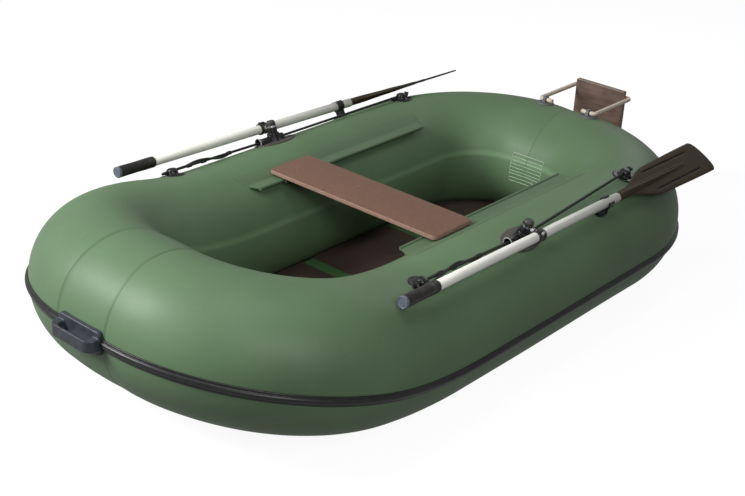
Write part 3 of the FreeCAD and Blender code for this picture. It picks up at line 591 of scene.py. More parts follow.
strips = []
for joint in (floor_joint_bow, floor_joint_stern):
    middle = side_start + joint - joint_gap / 2
    rings = []
    for row in range(61):
        y = -strip_half + 2 * strip_half * row / 60
        ring = []
        for column in range(15):
            across = -1 + column / 7
            dip = 0.0006 * math.exp(-(across * strip_width / 2 / joint_gap) ** 2)
            edge_wave = ripple(Vector((joint, y, across)), 0.03, 0.0008) * abs(across)
            lift = strip_thickness - dip - (0.0004 if abs(across) == 1 else 0)
            ring.append(Vector((middle + across * strip_width / 2 + edge_wave, y, floor_top + lift)))
        rings.append(ring + [Vector((point.x, y, floor_top + 0.00005)) for point in reversed(ring)])
    strips.append(skin("hinge_band", rings))
hinge_cloth = coated_cloth("green_hinge_cloth", (0.085, 0.200, 0.074))
fit_out(joined("hinge_bands", strips), hinge_cloth, "hinge_cloth", "hull", "floor_hinge_strips")


# Seat rails. A PVC extrusion on each side: a strip glued to the tube, a thin flap, and a bead along
# the flap's free edge that the seat's tracks slide on. The ends are cut on the slant.
seat_end_inset = 0.086
plank_end = half_beam - seat_end_inset
strip_radius = tube_radius + 0.002
plank_bottom = tube_radius + math.sqrt(strip_radius ** 2 - seat_end_inset ** 2) + 0.0008
track_wall = 0.004
track_clearance = 0.0005
bead_radius = 0.005
bead_y = plank_end - 0.048
bead_z = plank_bottom - track_wall - bead_radius - track_clearance
web_half = 0.00125
rail_start = 0.020
rail_end = side_length - 0.006
rail_slant = 0.038
strip_top = 19.0
strip_low = math.degrees(math.acos((bead_z - tube_radius) / tube_radius)) + 4.0


def inboard(angle, lift):
    """A point of the port tube's section, lifted off it at an angle inboard of its crown."""
    spread = math.radians(angle)
    radius = tube_radius + lift
    return half_beam - radius * math.sin(spread), tube_radius + radius * math.cos(spread)


def bore_round(radius, opening_half, centre_y, steps, way):
    """A bead's or a bore's round, from one side of its opening to the other."""
    gap = math.asin(opening_half / radius)
    for step in range(steps + 1):
        turn = way * (gap + (2 * math.pi - 2 * gap) * step / steps)
        yield centre_y + radius * math.cos(turn), bead_z + radius * math.sin(turn)


upper, lower = (math.degrees(math.acos((bead_z + way * web_half - tube_radius) / strip_radius))
                for way in (1, -1))
section = [inboard(strip_top, -0.001), inboard(strip_top + 0.1, 0.0003), inboard(strip_top + 4.0, 0.0016)]
section += [inboard(strip_top + 5.0 + (upper - 5.8 - strip_top) * step / 8, 0.002) for step in range(1, 9)]
fillet_y, fillet_z = inboard(upper, 0.002)
flap_start = fillet_y - 0.0030
flap_end = bead_y + math.sqrt(bead_radius ** 2 - web_half ** 2)
section += [(fillet_y - 0.0006, fillet_z + 0.0004)]
section += [(flap_start + (flap_end - flap_start) * step / 4, bead_z + web_half) for step in range(4)]
section += bore_round(bead_radius, web_half, bead_y, 18, 1)
section += [(flap_end + 0.012, bead_z - web_half), inboard(lower, 0.002), inboard(strip_low - 0.3, 0.002),
            inboard(strip_low, 0.0012), inboard(strip_low, -0.001)]
cut_inner = bead_y - bead_radius - 0.001
cut_outer = half_beam - tube_radius * math.sin(math.radians(strip_top))
rail_pvc = coated_cloth("grey_green_rail_pvc", (0.102, 0.163, 0.090))
for side, place in ((1, "port"), (-1, "starboard")):
    rings = []
    for row in range(101):
        ring = []
        for y, z in section:
            slant = rail_slant * (cut_outer - min(y, cut_outer)) / (cut_outer - cut_inner)
            x = side_start + rail_start + slant + (rail_end - rail_start - 2 * slant) * row / 100
            ring.append(on_side(Vector((x, y, z)), side))
        rings.append(ring)
    rail = crease(skin("seat_track_rail_" + place, rings), 60)
    fit_out(rail, rail_pvc, "seat_rail_pvc", "hull", "seat_rail_" + place)


# Seat. A plank of film-faced plywood with rounded corners and edges, screwed to two plastic tracks
# that grip the beads of the seat rails.
seat_middle = side_start + 0.609
seat_half_width = 0.081
seat_thickness = 0.013
track_length = 0.138
track_half = 0.0105
track_bore = bead_radius + track_clearance
track_bottom = bead_z - track_bore - track_wall
slot_half = web_half + 2 * track_clearance
plank = slab("seat_board", (seat_middle - seat_half_width, -plank_end),
             (seat_middle + seat_half_width, plank_end), 0.014,
             plank_bottom, plank_bottom + seat_thickness, 0.0022)
pink_film = film_face("pinkish_film_face", (0.178, 0.098, 0.067), 0.004, 0.46)
seat_edge = ply_edge("seat_ply_edge", (0.40, 0.255, 0.20), (0.30, 0.18, 0.135), 0.0022, "Z")
fit_out(plank, (pink_film, seat_edge), "seat_ply", "seat", "seat_plank")
track_section = [(-track_half, plank_bottom), (-track_half, track_bottom + 0.002),
                 (-track_half + 0.002, track_bottom), (track_half - 0.001, track_bottom),
                 (track_half, track_bottom + 0.001), (track_half, bead_z - slot_half)]
track_section += bore_round(track_bore, slot_half, 0.0, 16, -1)
track_section += [(track_half, bead_z + slot_half), (track_half, plank_bottom)]
tracks = []
for side in (1, -1):
    tracks.append(skin("track", [[on_side(Vector((seat_middle + track_length * (row / 23 - 0.5),
                                                  bead_y + y, z)), side) for y, z in track_section]
                                 for row in range(24)]))
track_plastic = moulded("grey_track_plastic", (0.10, 0.10, 0.10), 0.42, 500.0, 0.0001, 60.0)
fit_out(joined("seat_runners", tracks, 40), track_plastic, "track_plastic", "seat", "seat_tracks")


# Rope eyelets. Black rubber mouldings, a domed eye on a round flange, glued to the tube; the life
# line goes through the dome.
rope_radius = 0.004
rope_bore = rope_radius + 0.0013
eyelet_bore = 0.013
eyelet_bow = (side_length + 0.131, 19.0)
eyelet_stern = (-0.034, 11.5)
eyelet_flange = 0.070
flange_thickness = 0.003
knot_reach = 0.0255
rowlock_place = (0.517, 20.5)
mouth_front = 0.066
tunnel_back = 0.036
tunnel_height = 0.0095


def placed(x_way, y_way, z_way, origin):
    """The frame with these three ways and this origin."""
    return Matrix([(x_way[k], y_way[k], z_way[k], origin[k]) for k in range(3)] + [(0, 0, 0, 1)])


def standing(along, around):
    """The frame of a fitting on the port tube: ahead, outboard round the tube, and out of it."""
    middle, ahead, outboard, up = tube_line(along)
    spread = math.radians(around)
    away = up * math.cos(spread) + outboard * math.sin(spread)
    across = outboard * math.cos(spread) - up * math.sin(spread)
    return placed(ahead, across, away, middle + away * tube_radius)


def moved(x, y, z):
    """A frame moved by these lengths."""
    return Matrix.Translation((x, y, z))


def spun(angle, axis):
    """A frame turned round one of its axes."""
    return Matrix.Rotation(angle, 4, axis)


def turned(name, profile, sides=48, stand=None, wave=None, base=0.0):
    """A piece turned round its z axis from (radius, height) points; wave cuts grips round it."""
    rings = []
    for radius, height in profile:
        ring = []
        for k in range(sides):
            angle = 2 * math.pi * k / sides
            reach = max(radius, 0.00002) * (wave(angle) if wave else 1.0)
            ring.append(Vector((reach * math.cos(angle), reach * math.sin(angle), base + height)))
        rings.append(ring)
    piece = skin(name, rings)
    if stand:
        piece.data.transform(stand)
    return crease(piece, 45)


def rod(start, end, radius, sides=24):
    """A straight round bar."""
    spin = (end - start).to_track_quat("Z", "Y").to_matrix().to_4x4()
    return turned("rod", [(radius, 0), (radius, (end - start).length)], sides, moved(*start) @ spin)


def oval_flange(name, length, width, stand):
    """A thin oval flange that wraps the tube, with a rounded edge."""
    rings = []
    levels = [(0.03, -0.004), (0.5, -0.004), (1.0, -0.002), (1.0, flange_thickness * 0.35),
              (0.992, flange_thickness * 0.75), (0.972, flange_thickness * 0.97)]
    levels += [(share, flange_thickness) for share in (0.94, 0.8, 0.6, 0.4, 0.2, 0.03)]
    for share, level in levels:
        ring = []
        for k in range(72):
            angle = 2 * math.pi * k / 72
            y = width / 2 * share * math.sin(angle)
            z = math.sqrt((tube_radius + level) ** 2 - y * y) - tube_radius
            ring.append(Vector((length / 2 * share * math.cos(angle), y, z)))
        rings.append(ring)
    piece = skin(name, rings)
    piece.data.transform(stand)
    return piece


def moulding(name, parts, cuts=(), voxel=0.0010, rounds=3):
    """Solid forms run together as one rubber moulding with soft fillets, and then cut."""
    piece = joined(name, parts)
    melt = piece.modifiers.new("melt", "REMESH")
    melt.mode = "VOXEL"
    melt.voxel_size = voxel
    melt.use_smooth_shade = True
    soften = piece.modifiers.new("soften", "SMOOTH")
    soften.factor = 0.5
    soften.iterations = rounds
    for cutter in cuts:
        cut = piece.modifiers.new("cut", "BOOLEAN")
        cut.operation = "DIFFERENCE"
        cut.solver = "EXACT"
        cut.object = cutter
    applied(piece)
    for cutter in cuts:
        bpy.data.objects.remove(cutter)
    return crease(piece, 52)


def twin(piece, name):
    """The starboard twin of a port piece."""
    mesh = piece.data.copy()
    mesh.transform(Matrix.Scale(-1, 4, (0, 1, 0)))
    mesh.flip_normals()
    other = bpy.data.objects.new(name, mesh)
    bpy.context.scene.collection.objects.link(other)
    return other


def with_twins(name, *parts):
    """Port pieces and their starboard twins as one piece."""
    return joined(name, list(parts) + [twin(part, part.name) for part in parts])


bow_stand = standing(*eyelet_bow)
stern_stand = standing(*eyelet_stern)
rowlock_stand = standing(*rowlock_place)
bow_eye = bow_stand @ Vector((0, 0, eyelet_bore))
stern_eye = stern_stand @ Vector((0, 0, eyelet_bore))
tunnel_in = rowlock_stand @ Vector((mouth_front, 0, tunnel_height))
tunnel_out = rowlock_stand @ Vector((-tunnel_back, 0, tunnel_height))
bow_way = (bow_eye - tunnel_in).normalized()
stern_way = (stern_eye - tunnel_out).normalized()
eyelets = []
for stand, eye, way in ((bow_stand, bow_eye, bow_way), (stern_stand, stern_eye, stern_way)):
    flange = oval_flange("flange", eyelet_flange, eyelet_flange, stand)
    dome = turned("dome", [(0.021, -0.006), (0.021, 0.0035), (0.0185, 0.0045), (0.0172, 0.0065),
                           (0.0168, 0.011), (0.0155, 0.0155), (0.0130, 0.0190), (0.0090, 0.0212),
                           (0.0040, 0.0219), (0.0, 0.0220)], 48, stand)
    eyelets.append(moulding("eye", [flange, dome], [rod(eye - way * 0.04, eye + way * 0.04, rope_bore)]))
black_rubber = moulded("black_rubber", (0.010, 0.010, 0.011), 0.28, 700.0, 0.00012, 40.0, 0.012)
fit_out(with_twins("rope_eyes", *eyelets), black_rubber, "black_rubber", "hull", "eyelets")


# Life lines. Black braided rope with a green fleck, one on each side, knotted behind the stern eyelet
# and led through the rowlock. At the bow its tail loops back beside it and is whipped to it.
splice_start = 0.060
splice_length = 0.165
tail_radius = 0.0034


def round_section(route, sides, reach):
    """Rings round a route of points; reach gives the radius from the angle and the length run."""
    rings = []
    run = 0.0
    across = None
    for k, point in enumerate(route):
        way = (route[min(k + 1, len(route) - 1)] - route[max(k - 1, 0)]).normalized()
        if across is None:
            across = way.orthogonal().normalized()
        else:
            run += (point - route[k - 1]).length
            across = (across - way * across.dot(way)).normalized()
        up = way.cross(across)
        angles = [2 * math.pi * j / sides for j in range(sides)]
        rings.append([point + (across * math.cos(angle) + up * math.sin(angle)) * reach(angle, run)
                      for angle in angles])
    return rings


def stepped(points, spacing):
    """Evenly spaced points along straight runs."""
    route = [points[0]]
    for start, end in zip(points, points[1:]):
        count = max(1, round((end - start).length / spacing))
        route += [start.lerp(end, k / count) for k in range(1, count + 1)]
    return route


def rope(route, radius):
    """A braided rope, its strands crossing in diamonds."""
    def braid(angle, run):
        lay = 2 * math.pi * run / (radius * 5.5)
        return radius * (0.95 + 0.075 * math.cos(4 * angle + lay) * math.cos(4 * angle - lay))
    return skin("rope", round_section(route, 24, braid))


def smoothed(points, count):
    """A smooth route through a few points of a bent rope."""
    route = []
    for k in range(len(points) - 1):
        before, start, end, after = (points[min(max(k + j, 0), len(points) - 1)] for j in (-1, 0, 1, 2))
        for step in range(count):
            t = step / count
            route.append(0.5 * (2 * start + (end - before) * t
                                + (2 * before - 5 * start + 4 * end - after) * t ** 2
                                + (3 * start - before - 3 * end + after) * t ** 3))
    return route + [points[-1]]


def knot(centre, way, size, radius):
    """A tight overhand knot round a rope."""
    spin = way.to_track_quat("X", "Z").to_matrix()
    route = []
    for k in range(120):
        turn = 2 * math.pi * k / 120
        local = Vector((-math.sin(3 * turn) * 0.9, math.sin(turn) + 2 * math.sin(2 * turn) * 0.9,
                        math.cos(turn) - 2 * math.cos(2 * turn) * 0.9))
        route.append(centre + spin @ (local * size))
    return skin("knot", round_section(route + route[:1], 12, lambda angle, run: radius))


def beside_splice(share):
    """The place on the rope at a share of its spliced length."""
    return bow_eye - bow_way * (splice_start + splice_length * share)


rope_fibre = moulded("black_green_rope", (0.020, 0.026, 0.020), 0.62, 1400.0, 0.0003, 300.0)
fleck = rope_fibre.texture("Voronoi", 420.0).outputs["Distance"]
rope_fibre.base(rope_fibre.ramp(fleck, (0.16, (0.045, 0.105, 0.045)), (0.30, (0.014, 0.017, 0.014))))
line_start = bow_eye + bow_way * knot_reach
line_end = stern_eye + stern_way * knot_reach
line_parts = [rope(stepped([line_start, tunnel_in, tunnel_out, line_end], 0.0013), rope_radius),
              knot(line_end, stern_way, 0.0024, 0.0031)]
outboard_way = bow_stand.to_3x3().col[1]
outboard_way = (outboard_way - bow_way * outboard_way.dot(bow_way)).normalized()
out_of_tube = bow_way.cross(outboard_way).normalized()
loop_points = ((0.012, 0.0, 0.0), (0.0205, 0.002, 0.0), (0.0250, 0.010, -0.002),
               (0.0190, 0.0195, -0.005), (0.0040, 0.0235, -0.006), (-0.0150, 0.0205, -0.004),
               (-0.0360, 0.0115, -0.001), (-0.0580, 0.0065, 0.0))
tail = smoothed([bow_eye + bow_way * ahead + outboard_way * aside + out_of_tube * rise
                 for ahead, aside, rise in loop_points], 16)
for k in range(1, 133):
    share = k / 132
    lean = math.radians(330 * share)
    gap = 0.0062 * min(1.0, 12 * (1 - share) + 0.35)
    tail.append(beside_splice(share) + (outboard_way * math.cos(lean) + out_of_tube * math.sin(lean)) * gap)
line_parts.append(rope(tail, tail_radius))
for share in (0.03, 0.36, 0.97):
    at = beside_splice(share)
    wrap = stepped([at - bow_way * 0.007, at + bow_way * 0.007], 0.0005)
    line_parts.append(skin("whipping", round_section(
        wrap, 24, lambda angle, run: 0.0056 + 0.0003 * math.cos(2 * math.pi * run / 0.0018))))
line_port = joined("life_line_port_rope", line_parts)
line_starboard = twin(line_port, "life_line_starboard_rope")
fit_out(line_port, rope_fibre, "rope", "hull", "lifeline_port")
fit_out(line_starboard, rope_fibre, "rope", "hull", "lifeline_starboard")


# Rowlock bases. On a grey-brown oval pad glued to the tube stands one black rubber moulding: the post
# for the rowlock pin, and a horn that leads the life line through, with a pale ring round its mouth.
tunnel_radius = 0.0105
flare_start = 0.048
mouth_radius = 0.0135
mouth_height = 0.0105
post_radius = 0.019
post_height = 0.027
hub_bottom = post_height + 0.0003
oar_pitch = math.radians(1.5)
pitch = moved(0, 0, hub_bottom) @ spun(-oar_pitch, "Y") @ moved(0, 0, -hub_bottom)
oar_stand = rowlock_stand @ pitch
horn_rings = []
for x, radius, height in ((-tunnel_back, tunnel_radius - 0.002, tunnel_height),
                          (-tunnel_back + 0.002, tunnel_radius, tunnel_height),
                          (flare_start, tunnel_radius, tunnel_height),
                          (flare_start + 0.009, tunnel_radius + 0.0014, tunnel_height + 0.0003),
                          (mouth_front, mouth_radius, mouth_height)):
    arch = [math.pi * k / 20 for k in range(21)]
    ring = [(x, radius * math.cos(angle), height + radius * math.sin(angle)) for angle in arch]
    ring += [(x, -radius, -0.008), (x, radius, -0.008)]
    horn_rings.append([rowlock_stand @ Vector(point) for point in ring])
horn = skin("horn", horn_rings)
post = turned("post", [(post_radius + 0.004, -0.012), (post_radius + 0.004, 0.003),
                       (post_radius + 0.001, 0.006), (post_radius, 0.009),
                       (post_radius, post_height - 0.0015), (post_radius - 0.0015, post_height)],
              64, oar_stand)
hollow = turned("hollow", [(0.0042, -0.030), (0.0062, -0.023), (mouth_radius - 0.0045, -0.009),
                           (mouth_radius - 0.0025, 0.0), (mouth_radius - 0.0025, 0.004)], 40,
                rowlock_stand @ moved(mouth_front, 0, mouth_height) @ spun(quarter_turn, "Y"))
rope_hole = rod(tunnel_in + bow_way * 0.002, tunnel_out + stern_way * 0.01, rope_bore)
pin_hole = turned("pin_hole", [(0.0063, post_height - 0.009), (0.0063, post_height + 0.004)], 32, oar_stand)
rowlock_rubber = moulding("rowlock_horn", [horn, post], [hollow, pin_hole, rope_hole], 0.0011, 4)
fit_out(with_twins("rowlock_horns", rowlock_rubber), black_rubber, "black_rubber", "hull", "rowlock_bases")
rowlock_pad = oval_flange("rowlock_pad", 0.152, 0.086, rowlock_stand)
pad_rubber = moulded("grey_brown_pad", (0.070, 0.062, 0.054), 0.50, 800.0, 0.0001, 60.0, 0.02)
fit_out(with_twins("rowlock_pads", rowlock_pad), pad_rubber, "grey_rubber", "hull", "rowlock_bases")
rim_rings = []
for k in range(48):
    angle = math.pi * 2 * k / 48
    ring = []
    for j in range(10):
        bulge = 2 * math.pi * j / 10
        reach = mouth_radius - 0.0004 + 0.0016 * math.cos(bulge)
        ring.append(rowlock_stand @ Vector((mouth_front - 0.0006 + 0.0018 * math.sin(bulge),
                                            reach * math.cos(angle),
                                            mouth_height + reach * math.sin(angle))))
    rim_rings.append(ring)
rim = skin("rim", rim_rings, looped=True)
rim_plastic = moulded("pale_grey_ring", (0.30, 0.31, 0.30), 0.38, 600.0, 0.00005, 60.0)
fit_out(with_twins("rowlock_rings", rim), rim_plastic, "grey_rubber", "hull", "rowlock_bases")


# Rowlocks. Each turns on a steel pin in its post: a black hub with a steel collar, a short steel arm
# with washers, a knob that locks the pin, and a two-lobed clamp bolted round the oar's shaft.
oar_height = 0.042
oar_offset = 0.041
hub_radius = 0.015
hub_top = hub_bottom + 0.025
collar_radius = 0.0155
collar_length = 0.032
lobe_radius = 0.0175
shaft_radius = 0.0135
at_shaft = oar_stand @ moved(0, oar_offset, oar_height)
along_shaft = at_shaft @ spun(quarter_turn, "Y")
across_arm = oar_stand @ moved(0, 0, oar_height) @ spun(-quarter_turn, "X")


def bare_metal(name, colour, gloss):
    """Plated steel, slightly brushed and stained."""
    metal = Finish(name, Metallic=1.0)
    stain = metal.mottle(160.0, 4.0)
    metal.base(metal.ramp(stain, (0.35, shaded(colour, 0.75)), (0.65, colour)))
    metal.gloss(stain, gloss, gloss + 0.16)
    metal.bump(metal.mottle(1500.0), 0.15, 0.00005)
    return metal


def on_both(name, piece, finish, slot, node):
    """Hangs a port piece on the port oar, and its twin on the starboard oar."""
    other = twin(piece, name + "_starboard_part")
    piece.name = name + "_port_part"
    fit_out(piece, finish, slot, "port_oar", node + "_port")
    fit_out(other, finish, slot, "starboard_oar", node + "_starboard")


steel = bare_metal("plated_steel", (0.62, 0.62, 0.61), 0.20)
hub = turned("hub", [(0.013, -0.025), (hub_radius, -0.024), (hub_radius, -0.010), (0.0142, -0.0095),
                     (0.0142, -0.0035), (hub_radius, -0.003), (hub_radius, -0.001), (0.014, 0.0)],
             64, oar_stand, base=hub_top)
on_both("rowlock_hub", hub, black_rubber, "black_rubber", "rowlock_yoke")
arm_end = oar_offset - collar_radius
fork_parts = [
    turned("band", [(0.0143, -0.0092), (0.0149, -0.0088), (0.0149, -0.0042), (0.0143, -0.0038)],
           64, oar_stand, base=hub_top),
    turned("arm", [(0.0055, 0.013), (0.0055, arm_end - 0.0003)], 32, across_arm),
    turned("pin", [(0.0052, -0.0082), (0.006, -0.0074), (0.006, 0.002)], 32, oar_stand, base=hub_bottom),
]
for start in (arm_end, arm_end - 0.006):
    fork_parts.append(turned("washer", [(0.0056, 0.0), (0.0085, 0.0), (0.009, 0.0005), (0.009, 0.0025),
                                        (0.0085, 0.003), (0.0056, 0.003)], 40, across_arm, base=start))
on_both("rowlock_fork", joined("fork", fork_parts, 40), steel, "yoke_steel", "rowlock_yoke")
knob = turned("knob", [(0.0135, 0.0004), (0.014, 0.001), (0.014, 0.006), (0.0128, 0.0085),
                       (0.0105, 0.0115), (0.0085, 0.0127), (0.004, 0.0122), (0.0, 0.012)], 96,
              oar_stand, lambda angle: 1 - 0.035 * max(0.0, math.cos(12 * angle)) ** 3, hub_top)
knob_plastic = moulded("grey_brown_knob", (0.055, 0.050, 0.046), 0.35, 500.0, 0.00008, 80.0)
on_both("rowlock_cap", knob, knob_plastic, "knob_plastic", "rowlock_knob")
lobe = collar_length / 2
clamp_profile = [(shaft_radius + 0.0001, -lobe + 0.0008), (0.0150, -lobe), (0.0168, -lobe + 0.0012),
                 (lobe_radius, -lobe + 0.003), (lobe_radius, -lobe + 0.008), (0.0168, -lobe + 0.0102),
                 (collar_radius, -lobe + 0.0112), (collar_radius, 0.0)]
clamp_profile += [(radius, -height) for radius, height in clamp_profile[-2::-1]]
clamp = joined("clamp", [turned("lobes", clamp_profile, 64, along_shaft),
                         slab("lug", (-0.009, -0.0065), (0.009, 0.0065), 0.003, 0.0085, 0.0203, 0.0012,
                              at_shaft, 6)], 45)
clamp_plastic = moulded("black_clamp_plastic", (0.018, 0.018, 0.019), 0.30, 500.0, 0.00006, 60.0, 0.01)
on_both("oar_clamp", clamp, clamp_plastic, "collar_plastic", "oar_collar")
bolt = turned("bolt", [(0.0060, 0.0), (0.0065, 0.0005), (0.0065, 0.0032), (0.0052, 0.0046),
                       (0.0030, 0.0050), (0.0026, 0.0034), (0.0, 0.0034)], 40,
              at_shaft @ moved(0, 0.0066, 0.0148) @ spun(-quarter_turn, "X"))
on_both("oar_clamp_bolt", bolt, steel, "yoke_steel", "oar_collar")


# Oars. A painted aluminium tube, with a moulded grip and a plastic cap at its inboard end, and at the
# other a blade whose round neck is pushed into the tube.
shaft_front = 0.430
shaft_back = 0.388
grip_length = 0.117
grip_radius = 0.016
blade_length = 0.502
blade_half = 0.058
blade_corner = 0.013
blade_turn = math.radians(8)
blade_columns = 84
blade_widths = ((0.0, 0.0148), (0.030, 0.0148), (0.080, 0.0195), (0.135, 0.0380), (0.185, 0.0505),
                (0.280, 0.0545), (0.400, 0.0572), (blade_length, blade_half))
spine_radii = ((0.0, 0.0117), (0.04, 0.0117), (0.18, 0.0085), (0.30, 0.0055), (0.41, 0.0))


def painted(name, colour, gloss, wear):
    """Smooth paint over metal, with small scuffs and a faint orange peel."""
    paint = Finish(name)
    paint.base(paint.ramp(paint.mottle(9.0, 3.0), (0.3, shaded(colour, 0.94)), (0.7, shaded(colour, 1.05))))
    scuffs = paint.mottle(160.0, 5.0)
    paint.lay("MULTIPLY", 1.0, paint.ramp(scuffs, (0.64, white), (0.74, wear)))
    paint.gloss(scuffs, gloss - 0.05, gloss + 0.08)
    paint.bump(paint.mottle(420.0), 0.12, 0.0001)
    return paint


shaft = turned("shaft", [(0.0118, -shaft_back + 0.0015), (0.0118, -shaft_back), (0.0128, -shaft_back),
                         (shaft_radius, -shaft_back + 0.0008), (shaft_radius, shaft_front - 0.001),
                         (0.0125, shaft_front)], 64, along_shaft)
shaft_paint = painted("cream_white_paint", (0.86, 0.86, 0.79), 0.36, (0.86, 0.84, 0.80))
on_both("oar_tube", shaft, shaft_paint, "shaft_alu", "oar_shaft")
grip_profile = [(0.0135, -0.004), (0.0150, -0.0035), (0.0158, 0.0)]
for groove in (0.006, 0.011, 0.016):
    grip_profile += [(grip_radius, groove - 0.0012), (grip_radius - 0.0007, groove),
                     (grip_radius, groove + 0.0012)]
grip_profile += [(grip_radius, 0.03), (grip_radius - 0.0006, 0.06), (grip_radius, grip_length - 0.004),
                 (0.0152, grip_length - 0.0002)]
grip = turned("grip", grip_profile, 64, along_shaft, base=shaft_front)
grip_rubber = moulded("dark_grip", (0.019, 0.018, 0.016), 0.38, 420.0, 0.0002, 30.0, 0.02)
on_both("oar_handle", grip, grip_rubber, "grip_rubber", "oar_grip")
cap = turned("cap", [(0.0150, 0.0), (grip_radius, 0.0006), (grip_radius, 0.0062), (0.0154, 0.0080),
                     (0.0144, 0.0087), (0.0132, 0.0084), (0.0126, 0.0076), (0.0, 0.0076)],
             64, along_shaft, base=shaft_front + grip_length)
cap_plastic = moulded("blue_grey_cap", (0.125, 0.145, 0.185), 0.30, 400.0, 0.00006, 60.0)
on_both("oar_end_cap", cap, cap_plastic, "cap_plastic", "oar_grip_cap")


def within(value):
    """A value held between 0 and 1."""
    return min(1.0, max(0.0, value))


def eased(stops, at):
    """A smooth value between (place, value) stops, level at each."""
    for (start, low), (end, high) in zip(stops, stops[1:]):
        if at <= end:
            share = (at - start) / (end - start)
            return low + (high - low) * share * share * (3 - 2 * share)
    return stops[-1][1]


def steady(stops, at):
    """A value between (place, value) stops that runs on without flat spots."""
    k = max(j for j in range(len(stops) - 1) if stops[j][0] <= at)
    slopes = []
    for j in (k, k + 1):
        before, after = stops[max(j - 1, 0)], stops[min(j + 1, len(stops) - 1)]
        slopes.append((after[1] - before[1]) / (after[0] - before[0]))
    (start, low), (end, high) = stops[k], stops[k + 1]
    span = end - start
    t = (at - start) / span
    return ((2 * t ** 3 - 3 * t ** 2 + 1) * low + (t ** 3 - 2 * t ** 2 + t) * span * slopes[0]
            + (3 * t ** 2 - 2 * t ** 3) * high + (t ** 3 - t ** 2) * span * slopes[1])


def blade_height(down, reach, half):
    """Half the blade's thickness at a place: a thin plate, a tapering spine and two sunk channels; and how
    much painted shade darkens the channels there.
    """
    plate = 0.0013 + 0.0012 * math.sqrt(within((half - abs(reach)) / 0.010))
    spine = eased(spine_radii, down)
    height = plate
    if abs(reach) < spine:
        height = max(plate, math.sqrt(spine ** 2 - reach ** 2))
    elif spine > 0.001:
        height += 0.0016 * max(0.0, 1 - (abs(reach) - spine) / 0.006) ** 2
    fade = within((down - 0.175) / 0.010) * within((0.435 - down) / 0.010)
    channel = max(0.0, 1 - ((abs(reach) - 0.034) / 0.0032) ** 4)
    return height - 0.0016 * fade * math.sqrt(channel), fade if channel > 0.3 else 0.0


blade_rows = [blade_length * (k / 150) for k in range(147)]
blade_rows += [blade_length - short for short in (0.0085, 0.0065, 0.0045, 0.0025, 0.0010, 0.0002, 0.0)]
blade_rings = []
groove_shade = []
for down in blade_rows:
    half = steady(blade_widths, down)
    into_corner = within((down - blade_length + blade_corner) / blade_corner)
    half -= blade_corner * (1 - math.sqrt(1 - into_corner ** 2))
    sweep = 0.010 * within((down - blade_length) / 0.12 + 1) ** 2
    top, low, row_groove_shade = [], [], []
    for column in range(blade_columns + 1):
        share = 2 * column / blade_columns - 1
        spot = 0.6 * share + 0.4 * share ** 3
        reach = spot * half
        bow = sweep * (reach / blade_half) ** 2
        thick, groove = blade_height(down, reach, half)
        thick *= 0.45 if abs(spot) > 0.999 else 1.0
        top.append(Vector((-down + bow, reach, thick)))
        low.append(Vector((-down + bow, reach, -thick)))
        row_groove_shade.append(groove)
    blade_rings.append(top + low[::-1])
    groove_shade += row_groove_shade + row_groove_shade[::-1]
blade = skin("blade", blade_rings)
# Marks the share of painted shade in each groove, for the finish to read
mark(blade, "groove", groove_shade)
blade.data.transform(oar_stand @ moved(-shaft_back, oar_offset, oar_height) @ spun(-blade_turn, "X"))
blade_plastic = moulded("dark_brown_blade", (0.042, 0.033, 0.017), 0.54, 260.0, 0.00016, 12.0, 0.006)
blade_plastic.shader.inputs["Specular IOR Level"].default_value = 0.12
# Painted shade in each groove: the groove mark darkens the blade's colour there nearly to black
blade_plastic.lay("MULTIPLY", blade_plastic.marked("groove"), (0.12, 0.11, 0.10))
on_both("oar_paddle", crease(blade, 60), blade_plastic, "blade_plastic", "oar_blade")


# Oar clips. Open hooks of black rubber on oval pads, glued to the tube; the stowed shaft is pressed
# into them from above.
clip_station = 0.183
clip_length = 0.024
clip_inner = shaft_radius + 0.0003
clip_outer = clip_inner + 0.005
clip_opening = math.radians(42)
run_to_clip = (clip_station - rowlock_place[0]) / math.cos(oar_pitch)
shaft_there = pitch @ Vector((run_to_clip, oar_offset, oar_height))
from_middle = Vector((shaft_there.y, shaft_there.z + tube_radius))
clip_around = rowlock_place[1] + math.degrees(math.atan2(from_middle.x, from_middle.y))
clip_height = from_middle.length - tube_radius
clip_stand = standing(clip_station, clip_around)
lip_side = clip_inner * math.sin(clip_opening)
lip = math.asin(lip_side / clip_outer) + 0.10


def hook_arc(radius, start, end, steps):
    """Points on an arc round the clip's bore, from angle to angle off the vertical."""
    for k in range(steps + 1):
        angle = start + (end - start) * k / steps
        yield radius * math.sin(angle), clip_height + radius * math.cos(angle)


hook_outline = list(hook_arc(clip_outer, lip, 2 * math.pi - lip, 40))
hook_outline.append((-lip_side - 0.0030, clip_height + clip_outer * 0.80 + 0.0022))
hook_outline += hook_arc(clip_inner - 0.0006, 2 * math.pi - clip_opening, clip_opening, 32)
hook_outline.append((lip_side + 0.0030, clip_height + clip_outer * 0.80 + 0.0022))
hook = skin("hook", [[clip_stand @ Vector((share * clip_length, y, z)) for y, z in hook_outline]
                     for share in (-0.5, -0.47, -0.42, 0.0, 0.42, 0.47, 0.5)])
stem = slab("stem", (-clip_length / 2, -0.010), (clip_length / 2, 0.010), 0.003,
            -0.008, clip_height - clip_inner - 0.001, 0.001, clip_stand, 5)
clip_pad = oval_flange("clip_pad", 0.064, 0.044, clip_stand)
clip_bore = turned("clip_bore", [(clip_inner, -0.03), (clip_inner, 0.03)], 64,
                   clip_stand @ moved(0, 0, clip_height) @ spun(quarter_turn - oar_pitch, "Y"))
clip = moulding("clip", [hook, stem, clip_pad], [clip_bore])
fit_out(with_twins("oar_hooks", clip), black_rubber, "black_rubber", "hull", "oar_clips")


